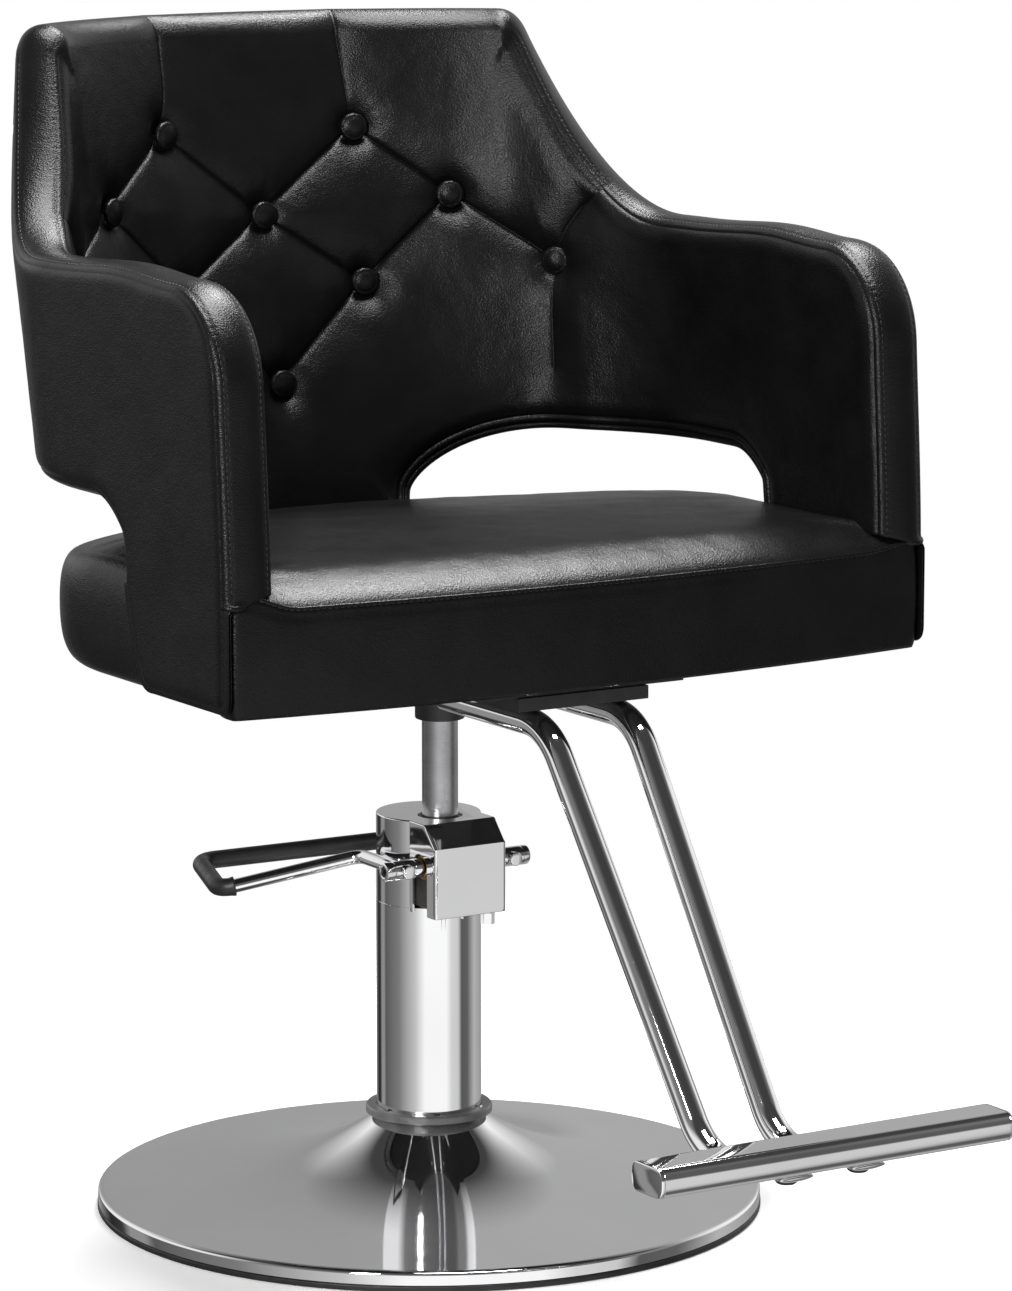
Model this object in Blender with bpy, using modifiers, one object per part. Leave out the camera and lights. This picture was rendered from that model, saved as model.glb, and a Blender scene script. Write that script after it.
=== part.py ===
"""Hydraulic salon styling chair.

Metres, +Z up. The chair faces -Y. Left and right in names are as seen from the front of the
chair, so left is -X. The origin is on the floor under the middle of the round base.
"""

import math

import bmesh
import bpy
from mathutils import Matrix, Vector

GAP = 0.0003                      # clearance between neighbouring pieces

# Round base and column
BASE_RADIUS = 0.275
BASE_RIM_HEIGHT = 0.016
BASE_LIP_BOTTOM = 0.005
BASE_TOP_HEIGHT = 0.0762
COVER_THICKNESS = 0.0015
PLATE_RADIUS = 0.262
PLATE_THICKNESS = 0.009
COLUMN_RADIUS = 0.0434
COLUMN_WALL = 0.0020
COLUMN_TOP = 0.2572
FLANGE_RADIUS = 0.0400
FLANGE_THICKNESS = 0.008
FLANGE_BOLT_CIRCLE = 0.0300
CLAMP_RING_RADIUS = 0.0524
CLAMP_RING_HEIGHT = 0.0068

# Hydraulic cylinder and lifting ram, on an axis in front of the column's own
RAM_Y = -0.0187
RAM_RADIUS = 0.0148
RAM_BOTTOM = 0.1150
RAM_TOP = 0.4620
CYLINDER_BORE = 0.0170
CYLINDER_RADIUS = 0.0210
CYLINDER_BOTTOM = 0.0178
CYLINDER_FLOOR = 0.0120
CYLINDER_TOP = 0.2582
PISTON_THICKNESS = 0.014

# Pump head: casting, chrome cover, cross shaft and pedal
HEAD_HALF_WIDTH = 0.0339
HEAD_FRONT = -0.0671
HEAD_BOTTOM = 0.2536
HEAD_BACK_BOTTOM = 0.2575
HEAD_TOP = 0.3297
HEAD_CHAMFER_Y = -0.0502
HEAD_CHAMFER_Z = 0.3119
HEAD_WALL = 0.0016
HEAD_RADIUS = 0.0432
BODY_HALF_WIDTH = 0.0305
BODY_FRONT = -0.0645
BODY_BACK = 0.0180
BODY_BOTTOM = 0.2585
BODY_TOP = 0.3080
SHAFT_Y = -0.0426
SHAFT_Z = 0.2933
SHAFT_RADIUS = 0.0080
SHAFT_HALF_LENGTH = 0.0684
BUSH_RADIUS = 0.0103
PEDAL_ROD_RADIUS = 0.0057
PEDAL_HOLE_X = 0.0510
PEDAL_SLEEVE_RADIUS = 0.0074
PLUNGER_Y = -0.0562
PLUNGER_RADIUS = 0.0050
PLUNGER_BOTTOM = 0.2668
PLUNGER_TOP = 0.2842
SET_SCREW_RADIUS = 0.0030
GUIDE_RADIUS = 0.0185
WIPER_HEIGHT = 0.0040
VALVE_X = 0.0235
VALVE_Y = -0.0550
PEDAL_BEND = 0.0130

# Mounting plate, hub and footrest
HUB_RADIUS = 0.0205
HUB_BOTTOM = 0.4105
SEAT_BOTTOM = 0.4720
PLATE_TOP = SEAT_BOTTOM - GAP
PLATE_BOTTOM = 0.4657
PLATE_BOLT_X = 0.0800
PLATE_BOLT_YS = (-0.2050, 0.0600)
PLATE_BOLT_RADIUS = 0.0035
TUBE_RADIUS = 0.0110
TUBE_BEND = 0.0560
TUBE_TOP_Z = 0.4436
TUBE_LOW_Z = 0.1478
TUBE_TOP_X = 0.0400
TUBE_LOW_X = 0.0325
TUBE_BACK_Y = -0.0950
TUBE_TOP_BEND_Y = -0.2486
TUBE_LOW_BEND_Y = -0.4610
TUBE_PRESS_Y = -0.5090             # where the round tube begins to be pressed flat
TUBE_TIP_Y = -0.5800
BAR_SCREW_Y = -0.5680
BAR_SCREW_RADIUS = 0.0030
BAR_HALF_LENGTH = 0.1590
BAR_BACK = -0.5517
BAR_FRONT = -0.5929
BAR_BOTTOM = 0.1602
BAR_TOP = 0.1832

# Upholstered shell: half ellipse in plan at the back, straight arms at the sides
SHELL_HALF_WIDTH = 0.3250
SHELL_DEPTH = 0.2580
SHELL_CENTRE_Y = 0.0480
SHELL_RAKE = 0.2200
SHELL_RAKE_Z = 0.8000
ARM_FRONT = -0.2470
ARM_TOP = 0.8000
ARM_FRONT_RADIUS = 0.0650
BACK_TOP = 0.9690
CORNER_T = 0.5450                 # where the straight top edge of the back ends
WING_END_T = 0.9200               # where the wing has come down to the arm
LEG_BOTTOM = 0.4765
ARCH_TOP = 0.6310
TONGUE_BOTTOM = 0.5700
PAD_BOTTOM = 0.5770
LINER = 0.0030
FRAME_FROM = LINER + GAP
FRAME_THICKNESS = 0.0080
PAD_FROM = FRAME_FROM + FRAME_THICKNESS + GAP
BACK_PAD_TO = 0.0385
ARM_PAD_TO = 0.0475
PAD_SPLIT_T = 0.6200
BAND_THICKNESS = 0.0030
LAYER_EDGE = BAND_THICKNESS + 3 * GAP
BUTTON_RADIUS = 0.0120
BUTTON_HEIGHT = 0.0068
BUTTON_LIFT = 0.0012
# Upholstery buttons of the right hand half: place along the plan curve, and height
BUTTON_PLACES = ((0.199, 0.870), (0.373, 0.812), (0.0, 0.799),
                 (0.187, 0.740), (0.580, 0.757), (0.0, 0.658))

# Seat cushion
SEAT_HALF_WIDTH = SHELL_HALF_WIDTH - PAD_FROM - GAP
SEAT_FRONT = -0.2440
SEAT_BOW = 0.0240
SEAT_REAR_CENTRE_Y = -0.0110
SEAT_REAR_DEPTH = 0.2500
SEAT_EDGE_TOP = 0.5560
SEAT_CROWN = 0.0220
BOARD_THICKNESS = 0.0150

PARTS = "styling_chair"
CUTTERS = "cutters"


# ---------------------------------------------------------------- scene helpers

def clear_scene():
    for obj in list(bpy.data.objects):
        bpy.data.objects.remove(obj, do_unlink=True)


def collection(name):
    found = bpy.data.collections.get(name)
    if found is None:
        found = bpy.data.collections.new(name)
        bpy.context.scene.collection.children.link(found)
    return found


def material(name, colour, roughness, metallic):
    mat = bpy.data.materials.get(name)
    if mat is None:
        mat = bpy.data.materials.new(name)
        mat.use_nodes = True
        shader = mat.node_tree.nodes["Principled BSDF"]
        shader.inputs["Base Color"].default_value = (*colour, 1.0)
        shader.inputs["Roughness"].default_value = roughness
        shader.inputs["Metallic"].default_value = metallic
    return mat


def chrome():
    return material("chrome", (0.80, 0.80, 0.81), 0.06, 1.0)


def satin_steel():
    return material("satin_steel", (0.48, 0.48, 0.49), 0.32, 1.0)


def machined_steel():
    return material("machined_steel", (0.42, 0.42, 0.43), 0.40, 1.0)


def black_paint():
    return material("black_paint", (0.015, 0.015, 0.016), 0.45, 0.0)


def cast_iron():
    return material("cast_iron", (0.06, 0.06, 0.065), 0.60, 0.6)


def black_rubber():
    return material("black_rubber", (0.012, 0.012, 0.012), 0.55, 0.0)


def grey_plastic():
    return material("grey_plastic", (0.05, 0.05, 0.052), 0.45, 0.0)


def bronze():
    return material("bronze", (0.55, 0.36, 0.16), 0.35, 1.0)


def leatherette():
    return material("leatherette", (0.010, 0.010, 0.011), 0.35, 0.0)


def plywood():
    return material("plywood", (0.45, 0.30, 0.16), 0.70, 0.0)


def add_object(name, mesh, mat, group=PARTS):
    obj = bpy.data.objects.new(name, mesh)
    collection(group).objects.link(obj)
    if mat is not None:
        obj.data.materials.append(mat)
    return obj


def mesh_from(bm, name):
    mesh = bpy.data.meshes.new(name)
    bm.to_mesh(mesh)
    bm.free()
    return mesh


def smooth(obj, degrees=35.0):
    obj.data.shade_smooth()
    obj.data.set_sharp_from_angle(angle=math.radians(degrees))
    return obj


def bevel(obj, width, segments=2, degrees=30.0):
    mod = obj.modifiers.new("bevel", "BEVEL")
    mod.width = width
    mod.segments = segments
    mod.limit_method = "ANGLE"
    mod.angle_limit = math.radians(degrees)
    return obj


def cut(obj, cutter, operation="DIFFERENCE"):
    mod = obj.modifiers.new("cut_" + cutter.name, "BOOLEAN")
    mod.operation = operation
    mod.object = cutter
    cutter.hide_render = True
    cutter.display_type = "WIRE"
    return obj


# ---------------------------------------------------------------- shape helpers

def box(name, low, high, mat, group=PARTS):
    """A box between two corners."""
    bm = bmesh.new()
    size = [b - a for a, b in zip(low, high)]
    centre = [(a + b) / 2 for a, b in zip(low, high)]
    matrix = Matrix.Translation(centre) @ Matrix.Diagonal((*size, 1.0))
    bmesh.ops.create_cube(bm, size=1.0, matrix=matrix)
    return add_object(name, mesh_from(bm, name), mat, group)


def cylinder(name, radius, start, end, mat, segments=32, group=PARTS):
    """A cylinder between two points."""
    start = Vector(start)
    end = Vector(end)
    axis = end - start
    turn = axis.to_track_quat("Z", "Y").to_matrix().to_4x4()
    matrix = Matrix.Translation((start + end) / 2) @ turn
    bm = bmesh.new()
    bmesh.ops.create_cone(bm, cap_ends=True, segments=segments, radius1=radius, radius2=radius,
                          depth=axis.length, matrix=matrix)
    return smooth(add_object(name, mesh_from(bm, name), mat, group))


def cutter_box(name, low, high):
    return box(name, low, high, None, CUTTERS)


def cutter_cylinder(name, radius, start, end, segments=32):
    return cylinder(name, radius, start, end, None, segments, CUTTERS)


def turned(name, profile, mat, steps=48, centre=(0.0, 0.0), group=PARTS):
    """A closed (radius, height) outline, running down its outer side, turned about Z."""
    bm = bmesh.new()
    verts = [bm.verts.new((r, 0.0, z)) for r, z in profile]
    on_axis = profile[0][0] == 0.0 and profile[-1][0] == 0.0
    for a, b in zip(verts, verts[1:]):
        bm.edges.new((a, b))
    if not on_axis:
        bm.edges.new((verts[-1], verts[0]))
    obj = add_object(name, mesh_from(bm, name), mat, group)
    obj.location = (centre[0], centre[1], 0.0)
    mod = obj.modifiers.new("turn", "SCREW")
    mod.axis = "Z"
    mod.steps = steps
    mod.render_steps = steps
    mod.use_merge_vertices = True
    mod.merge_threshold = 0.00005
    mod.use_smooth_shade = False
    return obj


def ring(name, outer, inner, low, high, mat, steps=48, centre=(0.0, 0.0), chamfer=0.0):
    """A flat ring or tube standing on Z."""
    c = chamfer
    if c > 0.0:
        profile = [(inner, high), (outer - c, high), (outer, high - c), (outer, low + c),
                   (outer - c, low), (inner, low)]
    else:
        profile = [(inner, high), (outer, high), (outer, low), (inner, low)]
    return turned(name, profile, mat, steps, centre)


def prism(name, outline, half_length, mat, group=PARTS):
    """A closed (y, z) outline extruded along X, half_length to each side."""
    bm = bmesh.new()
    face = bm.faces.new([bm.verts.new((-half_length, y, z)) for y, z in outline])
    moved = bmesh.ops.extrude_face_region(bm, geom=[face])
    tips = [v for v in moved["geom"] if isinstance(v, bmesh.types.BMVert)]
    bmesh.ops.translate(bm, verts=tips, vec=(2.0 * half_length, 0.0, 0.0))
    bmesh.ops.recalc_face_normals(bm, faces=bm.faces)
    return add_object(name, mesh_from(bm, name), mat, group)


def rounded_path(corners, radius, step_degrees=12.0):
    """Points along straight runs between corners, with an arc at every inner corner."""
    points = [Vector(corners[0])]
    for before, corner, after in zip(corners, corners[1:], corners[2:]):
        corner = Vector(corner)
        inward = (Vector(before) - corner).normalized()
        outward = (Vector(after) - corner).normalized()
        bend = math.pi - inward.angle(outward)
        reach = radius * math.tan(bend / 2)
        middle = (inward + outward).normalized()
        centre = corner + middle * (radius / math.cos(bend / 2))
        start = (corner + inward * reach - centre).normalized()
        end = (corner + outward * reach - centre).normalized()
        count = max(2, round(math.degrees(bend) / step_degrees))
        for k in range(count + 1):
            points.append(centre + start.slerp(end, k / count) * radius)
    points.append(Vector(corners[-1]))
    return points


def bent_rod(name, points, radius, mat, resolution=3, group=PARTS):
    """A solid rod along points, as a bevelled curve with filled caps, made a mesh."""
    curve = bpy.data.curves.new(name, "CURVE")
    curve.dimensions = "3D"
    curve.bevel_depth = radius
    curve.bevel_resolution = resolution
    curve.use_fill_caps = True
    spline = curve.splines.new("POLY")
    spline.points.add(len(points) - 1)
    for slot, point in zip(spline.points, points):
        slot.co = (*point, 1.0)
    source = bpy.data.objects.new(name + "_path", curve)
    collection(group).objects.link(source)
    bpy.context.view_layer.update()
    evaluated = source.evaluated_get(bpy.context.evaluated_depsgraph_get())
    mesh = bpy.data.meshes.new_from_object(evaluated)
    bm = bmesh.new()
    bm.from_mesh(mesh)
    bmesh.ops.remove_doubles(bm, verts=bm.verts, dist=0.00002)
    bmesh.ops.recalc_face_normals(bm, faces=bm.faces)
    bm.to_mesh(mesh)
    bm.free()
    mesh.name = name
    mesh.materials.clear()
    bpy.data.objects.remove(source, do_unlink=True)
    return smooth(add_object(name, mesh, mat, group))


# ---------------------------------------------------------------- base and column

def trumpet_height(radius):
    """Height of the base cover's top surface at a radius."""
    reach = (BASE_RADIUS - radius) / (BASE_RADIUS - COLUMN_RADIUS)
    return BASE_RIM_HEIGHT + (BASE_TOP_HEIGHT - BASE_RIM_HEIGHT) * (0.45 * reach + 0.55 * reach ** 4)


def make_base():
    inner = COLUMN_RADIUS + GAP
    radii = [inner, 0.054, 0.072, 0.105, 0.165, 0.2735]
    top = [(r, trumpet_height(r)) for r in radii]
    lip = [(BASE_RADIUS, BASE_RIM_HEIGHT - 0.0015), (BASE_RADIUS, BASE_LIP_BOTTOM),
           (BASE_RADIUS - COVER_THICKNESS, BASE_LIP_BOTTOM)]
    under = [(r, trumpet_height(r) - COVER_THICKNESS) for r in reversed(radii)]
    turned("base_cover", top + lip + under, chrome(), 56)
    turned("base_plate", [(0.0, PLATE_THICKNESS), (PLATE_RADIUS, PLATE_THICKNESS),
                          (PLATE_RADIUS, 0.0), (0.0, 0.0)], black_paint(), 56)
    edge_in = PLATE_RADIUS + GAP
    ring("base_edge_ring", BASE_RADIUS + 0.0006, edge_in, 0.0, BASE_LIP_BOTTOM - GAP,
         black_rubber(), 56)


def make_column():
    floor = PLATE_THICKNESS + GAP
    ring("column_flange", FLANGE_RADIUS, 0.0060, floor, floor + FLANGE_THICKNESS,
         machined_steel(), 40)
    flange = bpy.data.objects["column_flange"]
    for k in range(3):
        angle = math.radians(30 + 60 * k)
        x = FLANGE_BOLT_CIRCLE * math.cos(angle)
        y = FLANGE_BOLT_CIRCLE * math.sin(angle)
        shank = 0.0030
        hole = cutter_cylinder(f"flange_hole_{k + 1}", shank + GAP, (x, y, 0.005), (x, y, 0.03), 12)
        cut(flange, hole)
        hex_bolt(f"flange_bolt_{k + 1}", (x, y, floor + FLANGE_THICKNESS + GAP), shank, 0.0055,
                 0.0040, FLANGE_THICKNESS + GAP - 0.0002)
    ring("column_tube", COLUMN_RADIUS, COLUMN_RADIUS - COLUMN_WALL, floor, COLUMN_TOP, chrome(), 64)
    make_clamp_ring()


def hex_bolt(name, seat, shank, head, head_height, shank_length):
    """A bolt standing on seat, head up, with its shank below: one turned solid with a hex head."""
    x, y, z = seat
    bolt = cylinder(name, head, (x, y, z), (x, y, z + head_height), machined_steel(), 6)
    stem = cutter_cylinder(name + "_stem", shank, (x, y, z - shank_length),
                           (x, y, z + head_height * 0.5), 12)
    return cut(bolt, stem, "UNION")


def make_clamp_ring():
    low = BASE_TOP_HEIGHT + GAP
    ring("column_clamp_ring", CLAMP_RING_RADIUS, COLUMN_RADIUS + GAP, low,
         low + CLAMP_RING_HEIGHT, grey_plastic(), 48, chamfer=0.0012)


# ---------------------------------------------------------------- hydraulic lift

def make_cylinder():
    """A steel cup, closed at its foot, that the ram slides in."""
    floor = CYLINDER_BOTTOM + CYLINDER_FLOOR
    profile = [(0.0, floor), (CYLINDER_BORE, floor), (CYLINDER_BORE, CYLINDER_TOP),
               (CYLINDER_RADIUS, CYLINDER_TOP), (CYLINDER_RADIUS, CYLINDER_BOTTOM),
               (0.0, CYLINDER_BOTTOM)]
    turned("pump_cylinder", profile, machined_steel(), 32, (0.0, RAM_Y))


def make_ram():
    top = RAM_BOTTOM - GAP
    low = top - PISTON_THICKNESS
    groove = 0.0024
    edge = CYLINDER_BORE - GAP
    profile = [(0.0, top), (edge, top), (edge, low + 0.009), (edge - groove, low + 0.009),
               (edge - groove, low + 0.005), (edge, low + 0.005), (edge, low), (0.0, low)]
    turned("ram_piston", profile, machined_steel(), 32, (0.0, RAM_Y))
    ring("piston_seal", edge, edge - groove + GAP, low + 0.005 + GAP, low + 0.009 - GAP,
         black_rubber(), 32, (0.0, RAM_Y))
    cylinder("ram", RAM_RADIUS, (0.0, RAM_Y, RAM_BOTTOM), (0.0, RAM_Y, RAM_TOP), satin_steel(), 40)
    bush_low = BODY_TOP + GAP
    bush_high = HEAD_TOP - HEAD_WALL - GAP
    ring("ram_guide_bush", GUIDE_RADIUS, RAM_RADIUS + GAP, bush_low, bush_high - WIPER_HEIGHT,
         bronze(), 32, (0.0, RAM_Y))
    ring("ram_wiper_seal", GUIDE_RADIUS - 0.0005, RAM_RADIUS + GAP, bush_high - WIPER_HEIGHT + GAP,
         bush_high, black_rubber(), 32, (0.0, RAM_Y))


# ---------------------------------------------------------------- pump head and pedal

def head_outline(shrink):
    """Side outline of the box part of the pump head, moved inwards by shrink."""
    front = HEAD_FRONT + shrink
    top = HEAD_TOP - shrink
    slope = shrink * 0.42
    return [(front, HEAD_BOTTOM), (front, HEAD_CHAMFER_Z - slope),
            (HEAD_CHAMFER_Y + slope, top), (0.0, top), (0.0, HEAD_BOTTOM)]


def make_head_cover():
    cover = prism("pump_head_cover", head_outline(0.0), HEAD_HALF_WIDTH, chrome())
    bevel(cover, 0.0010, 1)
    back = cutter_cylinder("head_back", HEAD_RADIUS, (0, 0, HEAD_BACK_BOTTOM), (0, 0, HEAD_TOP), 64)
    cut(cover, back, "UNION")
    bay_outline = [(y, z if z > HEAD_BOTTOM else z - 0.02) for y, z in head_outline(HEAD_WALL)]
    cut(cover, prism("head_bay", bay_outline, HEAD_HALF_WIDTH - HEAD_WALL, None, CUTTERS))
    cut(cover, cutter_cylinder("head_hollow", HEAD_RADIUS - HEAD_WALL, (0, 0, 0.2),
                               (0, 0, HEAD_TOP - HEAD_WALL), 64))
    cut(cover, cutter_cylinder("column_clearance", COLUMN_RADIUS + GAP, (0, 0, 0.2),
                               (0, 0, COLUMN_TOP + GAP), 64))
    cut(cover, cutter_cylinder("ram_opening", GUIDE_RADIUS, (0, RAM_Y, 0.3), (0, RAM_Y, 0.36), 32))
    cut(cover, cutter_box("shaft_slot", (-0.06, -0.0526, 0.24), (0.06, -0.0300, 0.3040)))
    return smooth(cover, 30)


def make_head_body():
    body = box("pump_head_body", (-BODY_HALF_WIDTH, BODY_FRONT, BODY_BOTTOM),
               (BODY_HALF_WIDTH, BODY_BACK, BODY_TOP), cast_iron())
    bevel(body, 0.002, 1)
    cut(body, cutter_cylinder("ram_bore", RAM_RADIUS + GAP, (0, RAM_Y, 0.2), (0, RAM_Y, 0.4), 32))
    cut(body, cutter_box("cam_bay", (-0.0165, -0.08, 0.2760), (0.0165, -0.0330, 0.34)))
    for side, name in ((-1, "left"), (1, "right")):
        inner = (side * 0.0140, SHAFT_Y, SHAFT_Z)
        outer = (side * 0.0400, SHAFT_Y, SHAFT_Z)
        cut(body, cutter_cylinder(f"bush_bore_{name}", BUSH_RADIUS + GAP, inner, outer, 24))
        make_shaft_bush(name, side)
    cut(body, cutter_cylinder("plunger_bore", PLUNGER_RADIUS + GAP,
                              (0, PLUNGER_Y, 0.2630), (0, PLUNGER_Y, 0.30), 16))
    cut(body, cutter_cylinder("valve_bore", 0.0036, (VALVE_X, VALVE_Y, 0.25),
                              (VALVE_X, VALVE_Y, 0.2680), 16))
    valve = cylinder("release_valve", 0.0033, (VALVE_X, VALVE_Y, 0.2500),
                     (VALVE_X, VALVE_Y, 0.2670), machined_steel(), 16)
    cut(valve, cutter_cylinder("valve_head", 0.0058, (VALVE_X, VALVE_Y, 0.2425),
                               (VALVE_X, VALVE_Y, 0.2520), 6), "UNION")
    return smooth(body, 30)


def make_shaft_bush(name, side):
    bush = cylinder(f"shaft_bush_{name}", BUSH_RADIUS, (side * 0.0180, SHAFT_Y, SHAFT_Z),
                    (side * 0.0310, SHAFT_Y, SHAFT_Z), bronze(), 24)
    hole = cutter_cylinder(f"bush_hole_{name}", SHAFT_RADIUS + GAP,
                           (side * 0.01, SHAFT_Y, SHAFT_Z), (side * 0.04, SHAFT_Y, SHAFT_Z), 32)
    return cut(bush, hole)


def make_cross_shaft():
    shaft = cylinder("cross_shaft", SHAFT_RADIUS, (-SHAFT_HALF_LENGTH, SHAFT_Y, SHAFT_Z),
                     (SHAFT_HALF_LENGTH, SHAFT_Y, SHAFT_Z), chrome(), 32)
    bevel(shaft, 0.0008, 1, 60)
    for side, name in ((-1, "left"), (1, "right")):
        x = side * PEDAL_HOLE_X
        cut(shaft, cutter_cylinder(f"pedal_hole_{name}", PEDAL_ROD_RADIUS + 2 * GAP,
                                   (x, SHAFT_Y - 0.02, SHAFT_Z), (x, SHAFT_Y + 0.02, SHAFT_Z), 20))
        tip = side * (SHAFT_HALF_LENGTH + 0.01)
        cut(shaft, cutter_cylinder(f"screw_hole_{name}", SET_SCREW_RADIUS + GAP,
                                   (x, SHAFT_Y, SHAFT_Z), (tip, SHAFT_Y, SHAFT_Z), 16))
        near = side * (PEDAL_HOLE_X + PEDAL_ROD_RADIUS + GAP)
        far = side * (SHAFT_HALF_LENGTH - 0.0020)
        cylinder(f"set_screw_{name}", SET_SCREW_RADIUS, (near, SHAFT_Y, SHAFT_Z),
                 (far, SHAFT_Y, SHAFT_Z), machined_steel(), 16)


def make_pump_drive():
    finger = box("cam_finger", (-0.0080, -0.0618, 0.2862), (0.0080, SHAFT_Y - SHAFT_RADIUS - GAP,
                                                            0.3004), machined_steel())
    bevel(finger, 0.0012, 1)
    cylinder("pump_plunger", PLUNGER_RADIUS, (0, PLUNGER_Y, PLUNGER_BOTTOM),
             (0, PLUNGER_Y, PLUNGER_TOP), machined_steel(), 16)


def pedal_corners():
    tip_y = SHAFT_Y - SHAFT_RADIUS - 0.0042
    near_tip = (-PEDAL_HOLE_X, tip_y, SHAFT_Z)
    far_tip = (PEDAL_HOLE_X, tip_y, SHAFT_Z)
    near_turn = (-PEDAL_HOLE_X, 0.0240, SHAFT_Z)
    near_end = (-0.1640, 0.0590, 0.2712)
    far_end = (-0.1385, 0.1410, 0.2772)
    far_turn = (PEDAL_HOLE_X, 0.0790, SHAFT_Z - 0.0030)
    return [near_tip, near_turn, near_end, far_end, far_turn, far_tip]


def make_pedal():
    path = rounded_path(pedal_corners(), PEDAL_BEND, 15)
    bent_rod("pedal_rod", path, PEDAL_ROD_RADIUS, chrome(), 3)
    make_pedal_sleeve(path)


def make_pedal_sleeve(path):
    """Rubber grip over the outer end of the loop and along the far leg."""
    far_end = Vector(pedal_corners()[3])
    far_turn = Vector(pedal_corners()[4])
    start = next(k for k, p in enumerate(path) if p.x < -0.145)
    covered = [p for p in path[start + 1:] if p.x < far_end.x + 0.018]
    covered.append(far_end.lerp(far_turn, 0.62))
    bore_path = [covered[0] + (covered[0] - covered[1]).normalized() * 0.004, *covered,
                 covered[-1] + (covered[-1] - covered[-2]).normalized() * 0.004]
    sleeve = bent_rod("pedal_sleeve", covered, PEDAL_SLEEVE_RADIUS, black_rubber(), 3)
    bore = bent_rod("sleeve_bore", bore_path, PEDAL_ROD_RADIUS + GAP, None, 3, CUTTERS)
    return cut(sleeve, bore)


# ---------------------------------------------------------------- plate, hub and footrest

def make_mounting():
    plate = box("seat_plate", (-0.0950, -0.2350, PLATE_BOTTOM), (0.0950, 0.0900, PLATE_TOP),
                black_paint())
    hub_top = PLATE_BOTTOM - GAP
    hub = cylinder("seat_hub", HUB_RADIUS, (0, RAM_Y, HUB_BOTTOM), (0, RAM_Y, hub_top),
                   black_paint(), 40)
    bevel(hub, 0.0015, 1, 60)
    cut(hub, cutter_cylinder("hub_socket", RAM_RADIUS + GAP, (0, RAM_Y, 0.3),
                             (0, RAM_Y, RAM_TOP + GAP), 40))
    board = bpy.data.objects["seat_board"]
    k = 0
    for x in (-PLATE_BOLT_X, PLATE_BOLT_X):
        for y in PLATE_BOLT_YS:
            k += 1
            hole = cutter_cylinder(f"plate_hole_{k}", PLATE_BOLT_RADIUS + GAP, (x, y, 0.44),
                                   (x, y, 0.4880), 12)
            cut(plate, hole)
            cut(board, hole)
            head_down_bolt(f"plate_bolt_{k}", x, y)


def head_down_bolt(name, x, y):
    """A hex bolt under the plate, screwed up into the seat board."""
    top = PLATE_BOTTOM - GAP
    bolt = cylinder(name, 0.0065, (x, y, top - 0.0045), (x, y, top), machined_steel(), 6)
    stem = cutter_cylinder(name + "_stem", PLATE_BOLT_RADIUS, (x, y, top - 0.002),
                           (x, y, 0.4850), 12)
    cut(bolt, stem, "UNION")


def tube_path(side):
    """Centre line of one footrest tube."""
    corners = [(side * TUBE_TOP_X, TUBE_BACK_Y, TUBE_TOP_Z),
               (side * TUBE_TOP_X, TUBE_TOP_BEND_Y, TUBE_TOP_Z),
               (side * TUBE_LOW_X, TUBE_LOW_BEND_Y, TUBE_LOW_Z),
               (side * TUBE_LOW_X, TUBE_PRESS_Y, TUBE_LOW_Z)]
    return rounded_path(corners, TUBE_BEND, 11)


def tube_sections(side):
    """(centre, half width, half height) along a tube: round, then pressed flat under the bar."""
    sections = [(p, TUBE_RADIUS, TUBE_RADIUS) for p in tube_path(side)]
    top = BAR_BOTTOM - GAP
    for y, half_height, half_width in ((-0.5250, 0.0080, 0.0128), (-0.5400, 0.0042, 0.0148),
                                       (-0.5500, 0.0030, 0.0155), (TUBE_TIP_Y, 0.0030, 0.0155)):
        centre = Vector((side * TUBE_LOW_X, y, top - half_height))
        sections.append((centre, half_width, half_height))
    return sections


def make_tube(name, side, around=14):
    """Loft of round and flattened sections, whose wide axis always stays along X."""
    sections = tube_sections(side)
    bm = bmesh.new()
    loops = []
    for k, (centre, wide, high) in enumerate(sections):
        before = sections[max(k - 1, 0)][0]
        after = sections[min(k + 1, len(sections) - 1)][0]
        along = (after - before).normalized()
        up = Vector((1.0, 0.0, 0.0)).cross(along).normalized()
        across = along.cross(up).normalized()
        loop = []
        for n in range(around):
            angle = 2 * math.pi * n / around
            point = centre + across * (wide * math.cos(angle)) + up * (high * math.sin(angle))
            loop.append(bm.verts.new(point))
        loops.append(loop)
    for a, b in zip(loops, loops[1:]):
        for n in range(around):
            m = (n + 1) % around
            bm.faces.new((a[n], a[m], b[m], b[n]))
    bm.faces.new(loops[0])
    bm.faces.new(loops[-1])
    bmesh.ops.recalc_face_normals(bm, faces=bm.faces)
    tube = smooth(add_object(name, mesh_from(bm, name), chrome()))
    x = side * TUBE_LOW_X
    hole = cutter_cylinder(f"{name}_hole", BAR_SCREW_RADIUS + GAP, (x, BAR_SCREW_Y, 0.13),
                           (x, BAR_SCREW_Y, 0.1750), 12)
    cut(tube, hole)
    cut(bpy.data.objects["footrest_bar"], hole)


def make_bar_screw(name, side):
    """A domed screw head under the pressed end of a tube, its stem up in the bar."""
    x = side * TUBE_LOW_X
    head_top = BAR_BOTTOM - GAP - 0.0060 - GAP
    screw = cylinder(name, 0.0105, (x, BAR_SCREW_Y, head_top - 0.0035), (x, BAR_SCREW_Y, head_top),
                     black_paint(), 20)
    bevel(screw, 0.0012, 1, 60)
    cut(screw, cutter_cylinder(f"{name}_stem", BAR_SCREW_RADIUS, (x, BAR_SCREW_Y, head_top - 0.001),
                               (x, BAR_SCREW_Y, 0.1740), 12), "UNION")


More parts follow.
